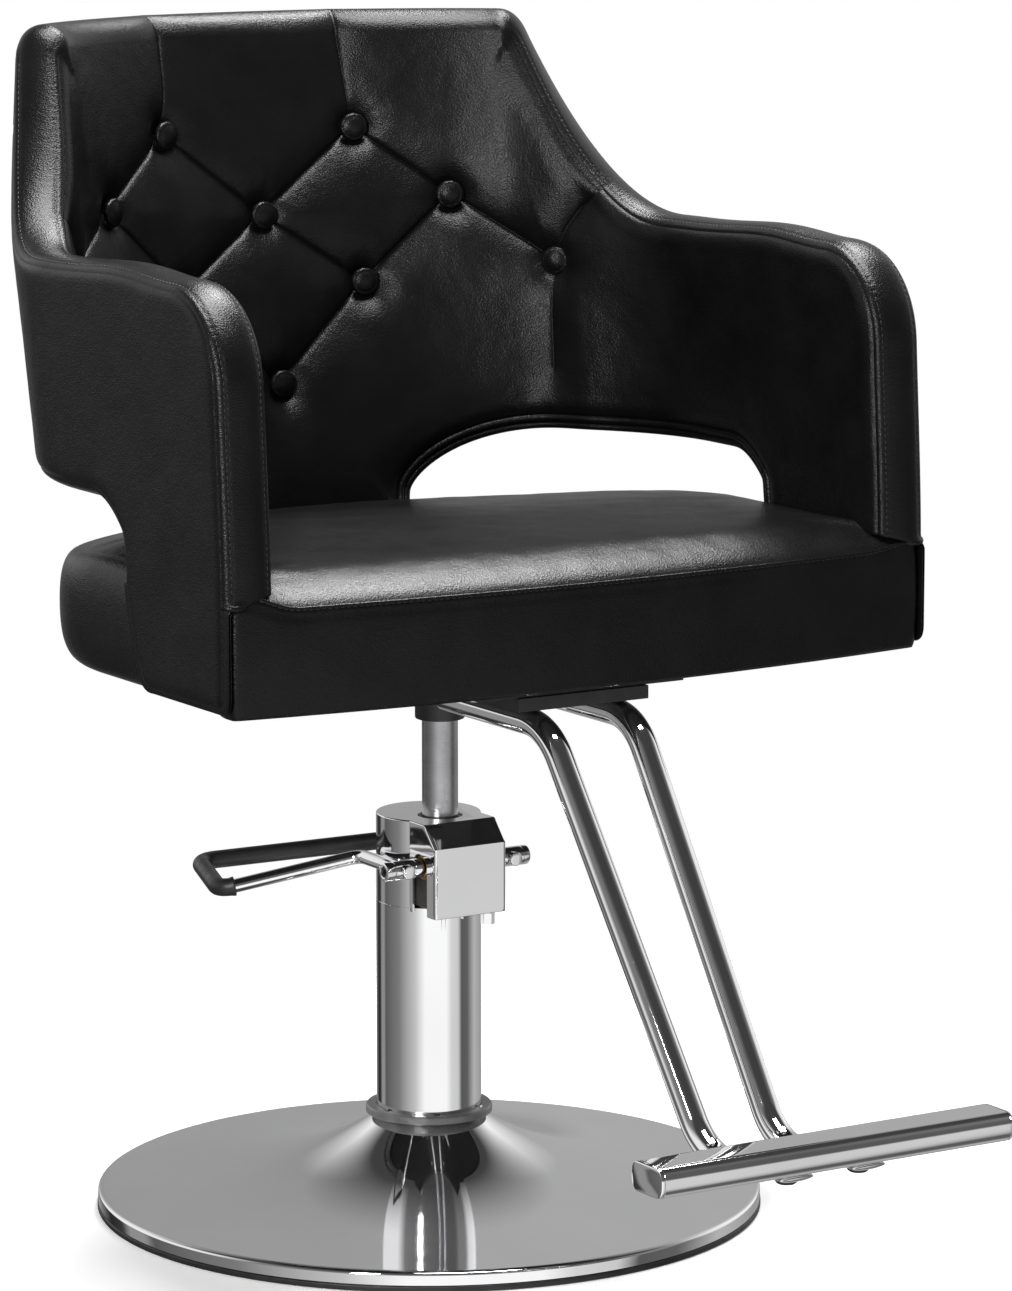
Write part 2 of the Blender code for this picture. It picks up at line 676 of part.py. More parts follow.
def bar_outline(shrink=0.0):
    """Flattened oval section of the foot bar: flat top and bottom, round front and back."""
    middle_z = (BAR_TOP + BAR_BOTTOM) / 2
    half = (BAR_TOP - BAR_BOTTOM) / 2 - shrink
    round_depth = 0.0085
    points = []
    for centre_y, turn in ((BAR_BACK - round_depth, 0), (BAR_FRONT + round_depth, 180)):
        for k in range(9):
            angle = math.radians(-90 + 22.5 * k + turn)
            points.append((centre_y + (round_depth - shrink) * math.cos(angle),
                           middle_z + half * math.sin(angle)))
    return points


def make_footrest():
    box("footrest_mount", (-0.0600, -0.2380, TUBE_TOP_Z + TUBE_RADIUS + GAP),
        (0.0600, -0.0900, PLATE_BOTTOM - GAP), black_paint())
    cap = 0.0030
    bar = prism("footrest_bar", bar_outline(), BAR_HALF_LENGTH - cap - GAP, chrome())
    smooth(bar, 30)
    for side, name in ((-1, "left"), (1, "right")):
        end = prism(f"bar_end_cap_{name}", bar_outline(), cap / 2, chrome())
        end.location.x = side * (BAR_HALF_LENGTH - cap / 2)
        smooth(end, 30)
    for side, name in ((-1, "left"), (1, "right")):
        make_tube(f"footrest_tube_{name}", side)
        make_bar_screw(f"bar_screw_{name}", side)


# ---------------------------------------------------------------- seat

def seat_half_outline(inset, count_rear=12, count_front=4):
    """Right hand half of the seat's plan outline, from the rear middle to the front middle."""
    points = []
    for k in range(count_rear + 1):
        angle = math.radians(90 * k / count_rear)
        points.append(((SEAT_HALF_WIDTH - inset) * math.sin(angle),
                       SEAT_REAR_CENTRE_Y + (SEAT_REAR_DEPTH - inset) * math.cos(angle)))
    points.append((SEAT_HALF_WIDTH - inset, -0.1200))
    points.append((SEAT_HALF_WIDTH - inset, -0.2100))
    for k in range(count_front + 1):
        across = 1.0 - k / count_front
        points.append(((SEAT_HALF_WIDTH - inset) * across,
                       SEAT_FRONT + inset - SEAT_BOW * (1.0 - across * across)))
    return points


def seat_outline(inset):
    right = seat_half_outline(inset)
    left = [(-x, y) for x, y in reversed(right[1:-1])]
    return right + left


def plate_from_outline(name, outline, low, high, mat, group=PARTS):
    bm = bmesh.new()
    face = bm.faces.new([bm.verts.new((x, y, low)) for x, y in outline])
    moved = bmesh.ops.extrude_face_region(bm, geom=[face])
    tips = [v for v in moved["geom"] if isinstance(v, bmesh.types.BMVert)]
    bmesh.ops.translate(bm, verts=tips, vec=(0.0, 0.0, high - low))
    bmesh.ops.recalc_face_normals(bm, faces=bm.faces)
    return add_object(name, mesh_from(bm, name), mat, group)


def make_seat():
    """Cushion over a plywood board; its top is a low crown inside a rounded edge."""
    board_inset = 0.0250
    board_low = SEAT_BOTTOM + 0.0016
    board_high = board_low + BOARD_THICKNESS
    plate_from_outline("seat_board", seat_outline(board_inset), board_low, board_high, plywood())
    rings = [(0.0060, SEAT_BOTTOM + 0.0016), (0.0, SEAT_BOTTOM + 0.0080), (0.0, SEAT_EDGE_TOP - 0.0100),
             (0.0035, SEAT_EDGE_TOP - 0.0030), (0.0110, SEAT_EDGE_TOP)]
    bm = bmesh.new()
    loops = [[bm.verts.new((x, y, z)) for x, y in seat_outline(inset)] for inset, z in rings]
    edge = seat_outline(rings[-1][0])
    for scale in (0.85, 0.60, 0.30):
        height = SEAT_EDGE_TOP + SEAT_CROWN * (1.0 - scale * scale)
        loops.append([bm.verts.new((x * scale, y * scale, height)) for x, y in edge])
    count = len(edge)
    for a, b in zip(loops, loops[1:]):
        for n in range(count):
            m = (n + 1) % count
            bm.faces.new((a[n], a[m], b[m], b[n]))
    bm.faces.new(loops[0])
    bm.faces.new(loops[-1])
    bmesh.ops.recalc_face_normals(bm, faces=bm.faces)
    cushion = smooth(add_object("seat_cushion", mesh_from(bm, "seat_cushion"), leatherette()))
    recess = plate_from_outline("board_recess", seat_outline(board_inset - GAP), 0.46,
                                board_high + GAP, None, CUTTERS)
    cut(cushion, recess)
    lining = plate_from_outline("seat_dust_cover", seat_outline(0.0080), SEAT_BOTTOM,
                                SEAT_BOTTOM + 0.0013, black_paint())
    for x in (-PLATE_BOLT_X, PLATE_BOLT_X):
        for y in PLATE_BOLT_YS:
            cut(lining, cutter_cylinder("lining_hole", PLATE_BOLT_RADIUS + 0.002, (x, y, 0.46),
                                        (x, y, 0.48), 12))


# ---------------------------------------------------------------- upholstered shell

def shell_centre(z):
    return SHELL_CENTRE_Y + SHELL_RAKE * (z - SHELL_RAKE_Z)


def arm_front(z, edge):
    """Front edge of an arm at a height: straight, with its top corner rounded."""
    radius = ARM_FRONT_RADIUS - edge
    above = z - (ARM_TOP - ARM_FRONT_RADIUS)
    setback = 0.0
    if above > 0.0:
        above = min(above, radius)
        setback = radius - math.sqrt(radius * radius - above * above)
    return ARM_FRONT + edge + setback


def shell_point(t, z, offset, edge=0.0):
    """Point of the shell. t runs from 0, the middle of the back, through 1, where the curved
    back meets the arm, to 2, the arm's front edge. offset is the depth below the outer skin."""
    centre = shell_centre(z)
    if t <= 1.0:
        angle = t * math.pi / 2
        x = SHELL_HALF_WIDTH * math.sin(angle)
        y = centre + SHELL_DEPTH * math.cos(angle)
        nx = math.sin(angle) / SHELL_HALF_WIDTH
        ny = math.cos(angle) / SHELL_DEPTH
        size = math.hypot(nx, ny)
        return Vector((x - offset * nx / size, y - offset * ny / size, z))
    y = centre + (arm_front(z, edge) - centre) * (t - 1.0)
    return Vector((SHELL_HALF_WIDTH - offset, y, z))


def shell_top(t, edge=0.0):
    """Upper edge of the shell: level back, concave wing, level arm."""
    if t <= CORNER_T:
        return BACK_TOP - edge
    if t >= WING_END_T:
        return ARM_TOP - edge
    across = (t - CORNER_T) / (WING_END_T - CORNER_T)
    return ARM_TOP + (BACK_TOP - ARM_TOP) * (1.0 - across) ** 2.6 - edge


def leg_rear(z):
    """Rear edge of the panel that comes down from the arm over the side of the seat."""
    down = (0.6310 - z) / (0.6310 - LEG_BOTTOM)
    return -0.0200 - 0.0600 * min(1.0, down * 1.6) ** 0.5 - 0.0330 * max(0.0, down) ** 2


def arch_height(t):
    """Lower edge of the shell behind the arms: tongue at the middle, arch at each side."""
    if t <= 0.215:
        return TONGUE_BOTTOM
    across = min(1.0, (t - 0.215) / 0.35)
    return TONGUE_BOTTOM + (ARCH_TOP - TONGUE_BOTTOM) * (1.0 - (1.0 - across) ** 2.4) ** 0.7


def leg_start(z):
    """Value of t at the rear edge of the leg."""
    return 1.0 + (leg_rear(z) - shell_centre(z)) / (arm_front(z, 0.0) - shell_centre(z))


BACK_COLUMNS = (0.0, 0.12, 0.215, 0.25, 0.32, 0.43, 0.545)
WING_COLUMNS = (0.58, 0.62, 0.68, 0.78, 0.92, 1.06)
LEG_COLUMNS = 4
LEG_ROWS = 4
ROW_SHARES = (0.0, 0.35, 0.62, 0.80, 0.90, 0.97, 1.0)


def sheet_grid(edge, t_from, t_to, low, leg_low):
    """Rows of (t, z) over one half of the shell: the quads above the arch, then the leg's."""
    columns = [t for t in BACK_COLUMNS + WING_COLUMNS if t_from <= t <= t_to]
    if columns[0] > t_from:
        columns.insert(0, t_from)
    if columns[-1] < t_to < 1.1:
        columns.append(t_to)
    upper = [[(t, low(t) + (shell_top(t, edge) - low(t)) * share) for share in ROW_SHARES]
             for t in columns]
    lower = []
    if t_to > 1.5:
        start = leg_start(ARCH_TOP)
        for n in range(LEG_COLUMNS):
            share = n / (LEG_COLUMNS - 1)
            upper.append([(start + (2.0 - start) * share,
                           ARCH_TOP + (ARM_TOP - edge - ARCH_TOP) * rise)
                          for rise in ROW_SHARES])
            column = []
            for j in range(LEG_ROWS + 1):
                z = ARCH_TOP + (leg_low - ARCH_TOP) * j / LEG_ROWS
                first = start if j == 0 else leg_start(z)
                column.append((first + (2.0 - first) * share, z))
            lower.append(column[::-1])
    return upper, lower


def mirror_x(obj):
    mod = obj.modifiers.new("mirror", "MIRROR")
    mod.use_axis = (True, False, False)
    mod.merge_threshold = 0.00005


def shell_layer(name, near, far, t_from, t_to, foot, side, mat):
    """One layer of the shell, lofted between its faces at two level depths below the outer skin.

    side is 0 for a layer across the middle, else the side of the chair it is on; foot is the
    lower end of its legs."""
    grids = sheet_grid(LAYER_EDGE, t_from, t_to, arch_height, foot)
    bm = bmesh.new()
    faces = []
    for depth in (near, far):
        verts = {}
        for grid in grids:
            for a, b in zip(grid, grid[1:]):
                for j in range(len(a) - 1):
                    keys = (a[j + 1], b[j + 1], b[j], a[j])
                    for key in keys:
                        if key not in verts:
                            verts[key] = bm.verts.new(shell_point(*key, depth, LAYER_EDGE))
                    corners = [verts[key] for key in keys]
                    bm.faces.new(corners if depth == near else corners[::-1])
        faces.append(verts)
    outer, inner = faces
    partner = {outer[key]: inner[key] for key in outer}
    for edge in [e for e in bm.edges if e.is_boundary and e.verts[0] in partner]:
        a, b = edge.verts
        if side == 0 and abs(a.co.x) < 1e-6 and abs(b.co.x) < 1e-6:
            continue
        bm.faces.new((a, b, partner[b], partner[a]))
    if side < 0:
        bmesh.ops.scale(bm, verts=bm.verts, vec=(-1.0, 1.0, 1.0))
    bmesh.ops.recalc_face_normals(bm, faces=bm.faces)
    obj = add_object(name, mesh_from(bm, name), mat)
    if side == 0:
        mirror_x(obj)


def band_path(edge):
    """(t, z) along the edge of one half, from the arm's foot to the middle of the back."""
    upper, lower = sheet_grid(edge, 0.0, 2.0, arch_height, PAD_BOTTOM)
    halves = upper[:-LEG_COLUMNS]
    arm = upper[-LEG_COLUMNS:]
    path = lower[-1][:-1] + arm[-1]
    for column in reversed(halves + arm[:-1]):
        path.append(column[-1])
    return path


def make_edge_band():
    """Boxing strip over the shell's top and front edges."""
    bm = bmesh.new()
    edge = BAND_THICKNESS
    rows = []
    for t, z in band_path(edge):
        inner = ARM_PAD_TO if t > PAD_SPLIT_T else BACK_PAD_TO + 0.009
        rows.append([bm.verts.new(shell_point(t, z, offset, edge))
                     for offset in (0.0002, inner * 0.35, inner * 0.7, inner)])
    for a, b in zip(rows, rows[1:]):
        for k in range(3):
            bm.faces.new((a[k], b[k], b[k + 1], a[k + 1]))
    band = add_object("shell_edge_band", mesh_from(bm, "shell_edge_band"), leatherette())
    mirror_x(band)
    mod = band.modifiers.new("thicken", "SOLIDIFY")
    mod.thickness = BAND_THICKNESS - GAP
    mod.offset = 1.0


def make_shell():
    shell_layer("shell_outer_cover", 0.0, LINER, 0.0, 2.0, LEG_BOTTOM, 0, leatherette())
    shell_layer("shell_frame", FRAME_FROM, FRAME_FROM + FRAME_THICKNESS, 0.0, 2.0, LEG_BOTTOM, 0,
                plywood())
    shell_layer("back_pad", PAD_FROM, BACK_PAD_TO, 0.0, PAD_SPLIT_T, PAD_BOTTOM, 0, leatherette())
    for side, name in ((-1, "left"), (1, "right")):
        shell_layer(f"arm_pad_{name}", PAD_FROM, ARM_PAD_TO, PAD_SPLIT_T + 0.0015, 2.0, PAD_BOTTOM,
                    side, leatherette())
    make_edge_band()


def make_buttons():
    mesh = None
    number = 0
    for t, z in BUTTON_PLACES:
        for side in ((1,) if t == 0.0 else (-1, 1)):
            number += 1
            pad = shell_point(t, z, BACK_PAD_TO)
            along = shell_point(t + 0.01, z, BACK_PAD_TO) - pad
            rise = shell_point(t, z + 0.01, BACK_PAD_TO) - pad
            axis = along.cross(rise).normalized()
            if axis.y > 0.0:
                axis.negate()
            seat = pad + axis * BUTTON_LIFT
            place = Vector((side * seat.x, seat.y, seat.z))
            axis.x *= side
            if mesh is None:
                mesh = button_mesh()
            obj = add_object(f"tuft_button_{number:02d}", mesh, None)
            turn = axis.to_track_quat("Z", "Y").to_matrix().to_4x4()
            obj.matrix_world = Matrix.Translation(place) @ turn


def button_mesh():
    """Low dome with a rolled edge, standing on its own origin."""
    bm = bmesh.new()
    profile = [(BUTTON_RADIUS * 0.90, 0.0), (BUTTON_RADIUS, BUTTON_HEIGHT * 0.35),
               (BUTTON_RADIUS * 0.82, BUTTON_HEIGHT * 0.78), (BUTTON_RADIUS * 0.45, BUTTON_HEIGHT)]
    steps = 16
    loops = []
    for radius, height in profile:
        loops.append([bm.verts.new((radius * math.cos(2 * math.pi * n / steps),
                                    radius * math.sin(2 * math.pi * n / steps), height))
                      for n in range(steps)])
    for a, b in zip(loops, loops[1:]):
        for n in range(steps):
            m = (n + 1) % steps
            bm.faces.new((a[n], a[m], b[m], b[n]))
    bm.faces.new(loops[0])
    bm.faces.new(loops[-1])
    bmesh.ops.recalc_face_normals(bm, faces=bm.faces)
    mesh = mesh_from(bm, "tuft_button")
    mesh.materials.append(leatherette())
    return mesh


def main():
    clear_scene()
    collection(PARTS)
    collection(CUTTERS)
    make_base()
    make_column()
    make_cylinder()
    make_ram()
    make_head_cover()
    make_head_body()
    make_cross_shaft()
    make_pump_drive()
    make_pedal()
    make_seat()
    make_mounting()
    make_footrest()
    make_shell()
    make_buttons()


main()
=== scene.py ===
"""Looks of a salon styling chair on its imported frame.

Metres, +Z up, the sitter faces -Y. The shell's soft surfaces are laid out in the plane of the
unrolled shell, (run, z): run is the length along the shell's plan curve from the middle of the
back, positive to +X. Each surface is a triangulated patch of that plane, bent into place and
pushed in or out by its depth field, with the seams, pleats and buttons as refined lines.
"""
import math

import bmesh
import bpy
import numpy as np
from mathutils import Matrix, Vector, geometry, kdtree, noise


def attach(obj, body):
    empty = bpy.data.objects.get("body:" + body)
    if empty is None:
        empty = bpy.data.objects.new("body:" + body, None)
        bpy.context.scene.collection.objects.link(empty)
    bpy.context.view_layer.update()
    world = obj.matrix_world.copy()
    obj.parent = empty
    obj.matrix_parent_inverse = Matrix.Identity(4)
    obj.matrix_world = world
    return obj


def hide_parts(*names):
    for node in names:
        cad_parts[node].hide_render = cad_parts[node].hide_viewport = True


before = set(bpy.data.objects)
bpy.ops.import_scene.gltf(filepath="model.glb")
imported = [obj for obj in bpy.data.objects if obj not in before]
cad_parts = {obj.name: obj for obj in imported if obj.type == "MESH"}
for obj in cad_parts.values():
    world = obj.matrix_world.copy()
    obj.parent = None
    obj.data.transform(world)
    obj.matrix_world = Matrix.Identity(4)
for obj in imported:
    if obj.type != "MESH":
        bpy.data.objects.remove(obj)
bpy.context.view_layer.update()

MM = 0.001

# the shell; a T is a share of the plan ellipse, 0 at the middle of the back and 1 at its side
SHELL_HALF_WIDTH = 0.3250
SHELL_DEPTH = 0.2580
SHELL_CENTRE_Y = 0.0480
SHELL_RAKE = 0.2200
ARM_FRONT = -0.2470
ARM_TOP = 0.8000
ARM_FRONT_RADIUS = 0.0780
ARM_LEAN = 0.0120
ARM_HUMP = 0.0045
BACK_TOP = 0.9687
CORNER_T = 0.5450
WING_END_T = 0.9200
LEG_BOTTOM = 0.4765
ARCH_TOP = 0.6170
ARCH_FROM_T = 0.2250
ARCH_SPRING_T = 0.3500
ARCH_SPRING = 0.5620
LEG_REAR = -0.0290
SIDE_SEAM_T = 0.6000
SIDE_SEAM_Z = (0.6360, 0.8720)
TONGUE_BOTTOM = 0.5450
PAD_BOTTOM = 0.5600
BACK_THICKNESS = 0.0385
ARM_THICKNESS = 0.0475
LEG_THICKNESS = 0.0064
BAND_CROWN = 0.0090
ARCH_CROWN = 0.0105
SEAM_DEPTH = 0.0034
STITCH_PITCH = 0.0052
STITCH_INSET = 0.0060
THREAD_RADIUS = 0.00046
PIPING_RADIUS = 0.0033
FOOT_ROLL_RADIUS = 0.0026
WELT_RADIUS = 0.0015

BUTTONS = ((-0.199, 0.870), (0.199, 0.870), (-0.373, 0.812), (0.373, 0.812), (0.0, 0.799),
           (-0.187, 0.740), (0.187, 0.740), (-0.580, 0.757), (0.580, 0.757), (0.0, 0.658))
BUTTON_DEPTH = 0.0355
# how deep the tufting pulls and how high the pads puff out, in millimetres
BUTTON_PULL = 15.0
PAD_PUFF = 6.5
ARM_PUFF = 1.5
# folds on the right half, each a chain of (t, z) points; the left half mirrors them
FOLDS = (((0.199, 0.870), (0.0, 0.799)), ((0.199, 0.870), (0.373, 0.812)),
         ((0.373, 0.812), (0.187, 0.740)), ((0.0, 0.799), (0.187, 0.740)),
         ((0.373, 0.812), (0.580, 0.757)), ((0.187, 0.740), (0.0, 0.658)))
TOP_PLEAT = ((0.199, 0.870), (0.190, 0.910), (0.186, 0.9505))
WING_PLEAT = ((0.580, 0.757), (0.612, 0.783), (0.668, 0.806), (0.745, 0.823))
ARM_PLEAT = ((0.580, 0.757), (0.562, 0.715), (0.552, 0.668))

# the seat cushion
SEAT_HALF_WIDTH = 0.3180
SEAT_FRONT = -0.2440
SEAT_BOW = 0.0240
SEAT_REAR_CENTRE_Y = -0.0110
SEAT_REAR_DEPTH = 0.2500
SEAT_EDGE_TOP = 0.5560
SEAT_REAR_FALL = 0.0150
SEAT_CROWN = 0.0220
SEAT_BOTTOM = 0.4728
SEAT_EDGE_STEP = 0.0016
SWELL_CAP = 0.0028


# ---------------------------------------------------------------- materials

class Nodes:
    """Short calls that add nodes to a shader tree."""

    def __init__(self, tree):
        self.tree = tree

    def node(self, kind, inputs=None, **settings):
        """A new node; each of its inputs is a plain value or another node's output."""
        node = self.tree.nodes.new(f"ShaderNode{kind}")
        for name, value in settings.items():
            setattr(node, name, value)
        for socket, value in (inputs or {}).items():
            if isinstance(value, bpy.types.NodeSocket):
                self.tree.links.new(value, node.inputs[socket])
            else:
                node.inputs[socket].default_value = value
        return node

    def add(self, kind, inputs=None, output=0, **settings):
        return self.node(kind, inputs, **settings).outputs[output]

    def math(self, operation, *values):
        return self.add("Math", dict(enumerate(values)), operation=operation)

    def ramp(self, value, stops):
        """A colour ramp through stops, each a position and a colour or a grey level."""
        node = self.node("ValToRGB", {"Fac": value})
        elements = node.color_ramp.elements
        while len(elements) < len(stops):
            elements.new(0.5)
        for element, (position, level) in zip(elements, stops):
            element.position = position
            element.color = (*np.broadcast_to(level, 3), 1.0)
        return node.outputs["Color"]


class Shader(Nodes):
    """A material whose colour, roughness and relief come from textures."""

    def __init__(self, name, colour, roughness, metallic=0.0):
        self.material = bpy.data.materials.new(name)
        self.material.use_nodes = True
        super().__init__(self.material.node_tree)
        self.inputs = self.tree.nodes["Principled BSDF"].inputs
        self.inputs["Base Color"].default_value = (*np.broadcast_to(colour, 3), 1.0)
        self.inputs["Roughness"].default_value = roughness
        self.inputs["Metallic"].default_value = metallic
        self.place = self.add("TexCoord", output="Object")

    def stretched(self, *scale):
        return self.add("Mapping", {"Vector": self.place, "Scale": scale})

    def noise(self, scale, detail=2.0, rough=0.5, place=None):
        return self.add("TexNoise", {"Vector": place or self.place, "Scale": scale, "Detail": detail,
                                     "Roughness": rough})

    def cells(self, scale, place=None):
        return self.add("TexVoronoi", {"Vector": place or self.place, "Scale": scale})

    def range(self, value, from_low, from_high, low, high):
        return self.add("MapRange", {"Value": value, "From Min": from_low, "From Max": from_high,
                                     "To Min": low, "To Max": high})

    def colour(self, value, low, high, ends=(0.3, 0.7)):
        """The colour goes from low to high where the texture goes between ends."""
        stops = tuple(zip(ends, (low, high)))
        self.tree.links.new(self.ramp(value, stops), self.inputs["Base Color"])

    def roughness(self, value, low, high, ends=(0.3, 0.7)):
        self.tree.links.new(self.range(value, *ends, low, high), self.inputs["Roughness"])

    def bump(self, height, distance, strength):
        """Relief on top of the bumps that are there already."""
        inputs = {"Height": height, "Distance": distance, "Strength": strength}
        before = self.inputs["Normal"].links
        if before:
            inputs["Normal"] = before[0].from_socket
        self.tree.links.new(self.add("Bump", inputs), self.inputs["Normal"])


def leather():
    """Black leatherette: a pebble grain about a millimetre across, over shallow creases."""
    s = Shader("leatherette", 0.004, 0.33)
    s.colour(s.noise(22.0, 4.0), (0.0030, 0.0030, 0.0031), (0.0055, 0.0054, 0.0055), (0.30, 0.72))
    wear = s.math("MULTIPLY_ADD", s.noise(420.0), 0.35, s.noise(35.0, 3.0))
    s.roughness(wear, 0.27, 0.33, (0.35, 1.00))
    long = s.stretched(1.0, 1.0, 1.35)
    s.bump(s.cells(700.0, long), 0.00024, 0.75)
    s.bump(s.noise(1900.0), 0.00008, 0.5)
    s.bump(s.noise(190.0, 3.0, 0.60, long), 0.0006, 0.40)
    s.inputs["Specular IOR Level"].default_value = 0.20
    return s.material


def thread():
    s = Shader("black_thread", 0.008, 0.55)
    s.colour(s.noise(900.0), 0.006, 0.016)
    s.bump(s.noise(5200.0, 1.0, place=s.stretched(1.0, 1.0, 0.3)), 0.00008, 0.6)
    return s.material


def chrome():
    """Bright plating: clear reflections with a faint haze and a trace of orange peel."""
    s = Shader("chrome", (0.90, 0.90, 0.91), 0.04, 1.0)
    s.colour(s.noise(9.0, 3.0), (0.87, 0.87, 0.88), (0.92, 0.92, 0.93))
    s.roughness(s.noise(60.0, 5.0), 0.025, 0.065)
    s.bump(s.noise(110.0), 0.00002, 0.25)
    return s.material


def satin_steel():
    """The ram: ground steel with fine rings round it."""
    s = Shader("satin_steel", (0.42, 0.42, 0.43), 0.30, 1.0)
    rings = s.noise(1.0, 3.0, 0.7, s.stretched(6.0, 6.0, 2600.0))
    s.colour(s.noise(30.0, 3.0), (0.37, 0.37, 0.38), (0.47, 0.47, 0.48))
    s.roughness(rings, 0.24, 0.38)
    s.bump(rings, 0.00003, 0.35)
    s.inputs["Anisotropic"].default_value = 0.4
    return s.material


def machined_steel():
    s = Shader("machined_steel", (0.42, 0.42, 0.43), 0.34, 1.0)
    s.colour(s.noise(80.0, 4.0), (0.34, 0.34, 0.35), (0.50, 0.50, 0.51))
    s.roughness(s.noise(140.0, 4.0), 0.26, 0.46)
    s.bump(s.noise(1500.0, place=s.stretched(1.0, 0.12, 1.0)), 0.00003, 0.5)
    return s.material


def black_paint():
    """Powder coat: satin black with a fine orange peel and slightly rubbed patches."""
    s = Shader("black_paint", 0.014, 0.42)
    s.colour(s.noise(26.0, 4.0), 0.011, 0.022, (0.3, 0.75))
    s.roughness(s.noise(70.0, 3.0), 0.34, 0.52)
    s.bump(s.noise(900.0), 0.00006, 0.5)
    return s.material


def dark_plating():
    """The ring at the column's foot, cast and dull plated."""
    s = Shader("dark_plating", 0.20, 0.36, 0.7)
    s.colour(s.noise(60.0, 4.0), 0.17, 0.25)
    s.roughness(s.noise(120.0, 3.0), 0.34, 0.50)
    s.bump(s.noise(1100.0), 0.00005, 0.5)
    return s.material


def cast_iron():
    s = Shader("cast_iron", (0.055, 0.053, 0.050), 0.62, 0.7)
    s.colour(s.noise(40.0, 5.0), (0.040, 0.038, 0.036), (0.085, 0.080, 0.074))
    s.roughness(s.noise(90.0, 4.0), 0.50, 0.75)
    s.bump(s.noise(650.0, 4.0, 0.7), 0.00022, 0.8)
    return s.material


def black_rubber():
    """The grip and the floor edge: matt, finely pitted, a little dusty."""
    s = Shader("black_rubber", 0.012, 0.42)
    s.colour(s.noise(45.0, 4.0), 0.009, (0.020, 0.020, 0.0195), (0.3, 0.75))
    s.roughness(s.noise(160.0, 3.0), 0.34, 0.52)
    s.bump(s.cells(1500.0), 0.00006, 0.5)
    return s.material


def bronze():
    s = Shader("bronze", (0.42, 0.25, 0.10), 0.36, 1.0)
    s.colour(s.noise(90.0, 4.0), (0.34, 0.19, 0.08), (0.50, 0.31, 0.13))
    s.roughness(s.noise(150.0, 3.0), 0.28, 0.45)
    s.bump(s.cells(1200.0), 0.00004, 0.5)
    return s.material


def plywood():
    """Birch ply: long grain across the board, with darker growth lines."""
    s = Shader("plywood", (0.42, 0.28, 0.16), 0.62)
    grain = s.noise(1.0, 5.0, 0.65, s.stretched(6.0, 240.0, 420.0))
    s.colour(grain, (0.30, 0.19, 0.10), (0.50, 0.35, 0.21))
    s.roughness(grain, 0.52, 0.72)
    s.bump(grain, 0.0002, 0.5)
    return s.material


def dust_cloth():
    """The non-woven cloth under the seat."""
    s = Shader("dust_cloth", 0.012, 0.85)
    weave = s.cells(1400.0)
    s.colour(weave, 0.007, 0.020, (0.1, 0.8))
    s.roughness(s.noise(200.0), 0.78, 0.92)
    s.bump(weave, 0.00012, 0.6)
    return s.material


FINISHES = {"chrome": chrome(), "satin_steel": satin_steel(), "machined_steel": machined_steel(),
            "black_paint": black_paint(), "dark_plating": dark_plating(), "cast_iron": cast_iron(),
            "black_rubber": black_rubber(), "bronze": bronze(), "leatherette": leather(),
            "plywood": plywood(), "dust_cloth": dust_cloth(), "black_thread": thread()}


# ---------------------------------------------------------------- making pieces

def add_object(name, data):
    obj = bpy.data.objects.new(name, data)
    bpy.context.scene.collection.objects.link(obj)
    return obj


def weld(mesh):
    """Welds doubled points, drops collapsed faces and turns the faces outward."""
    bm = bmesh.new()
    bm.from_mesh(mesh)
    bmesh.ops.remove_doubles(bm, verts=bm.verts, dist=0.000005)
    bmesh.ops.dissolve_degenerate(bm, edges=bm.edges, dist=0.000001)
    bmesh.ops.recalc_face_normals(bm, faces=bm.faces)
    bm.to_mesh(mesh)
    bm.free()


def shade(mesh, sharp):
    """Smooth shading, with sharp edges where faces meet at more than sharp degrees."""
    mesh.shade_smooth()
    if sharp is not None:
        mesh.set_sharp_from_angle(angle=math.radians(sharp))


def piece(name, shape, slot, body, replaced=(), finish=None, sharp=None, welded=False):
    """A piece from points and faces, that rides on a body and may stand for CAD nodes."""
    points, faces = shape
    mesh = bpy.data.meshes.new(name)
    mesh.from_pydata([tuple(map(float, p)) for p in points], [], [tuple(map(int, f)) for f in faces])
    bm = bmesh.new()
    bm.from_mesh(mesh)
    bmesh.ops.delete(bm, geom=[v for v in bm.verts if not v.link_faces], context="VERTS")
    bm.to_mesh(mesh)
    bm.free()
    mesh.materials.append(FINISHES[finish or slot])
    if welded:
        weld(mesh)
    shade(mesh, sharp)
    obj = add_object(name, mesh)
    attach(obj, body)
    if replaced:
        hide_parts(*replaced)
    return obj


def leather_piece(name, shape, replaced=(), welded=False):
    return piece(name, shape, "leatherette", "seat", replaced, welded=welded)


def round_angles(around):
    return np.linspace(0.0, 2 * math.pi, around, endpoint=False)


def grid_faces(rows, columns, closed=False):
    """Quads between rows of points; closed joins the last column to the first."""
    faces = []
    for r in range(rows - 1):
        for c in range(columns if closed else columns - 1):
            d = (c + 1) % columns
            faces.append((r * columns + c, r * columns + d, (r + 1) * columns + d, (r + 1) * columns + c))
    return faces


def ring_faces(rows, around, ends):
    """Quads between rings of points, whose end rings are open, capped, or joined to each other."""
    faces = grid_faces(rows, around, closed=True)
    last = (rows - 1) * around
    if ends == "capped":
        faces += [tuple(range(around))[::-1], tuple(range(last, last + around))]
    elif ends == "joined":
        faces += [(last + c, last + (c + 1) % around, (c + 1) % around, c) for c in range(around)]
    return faces


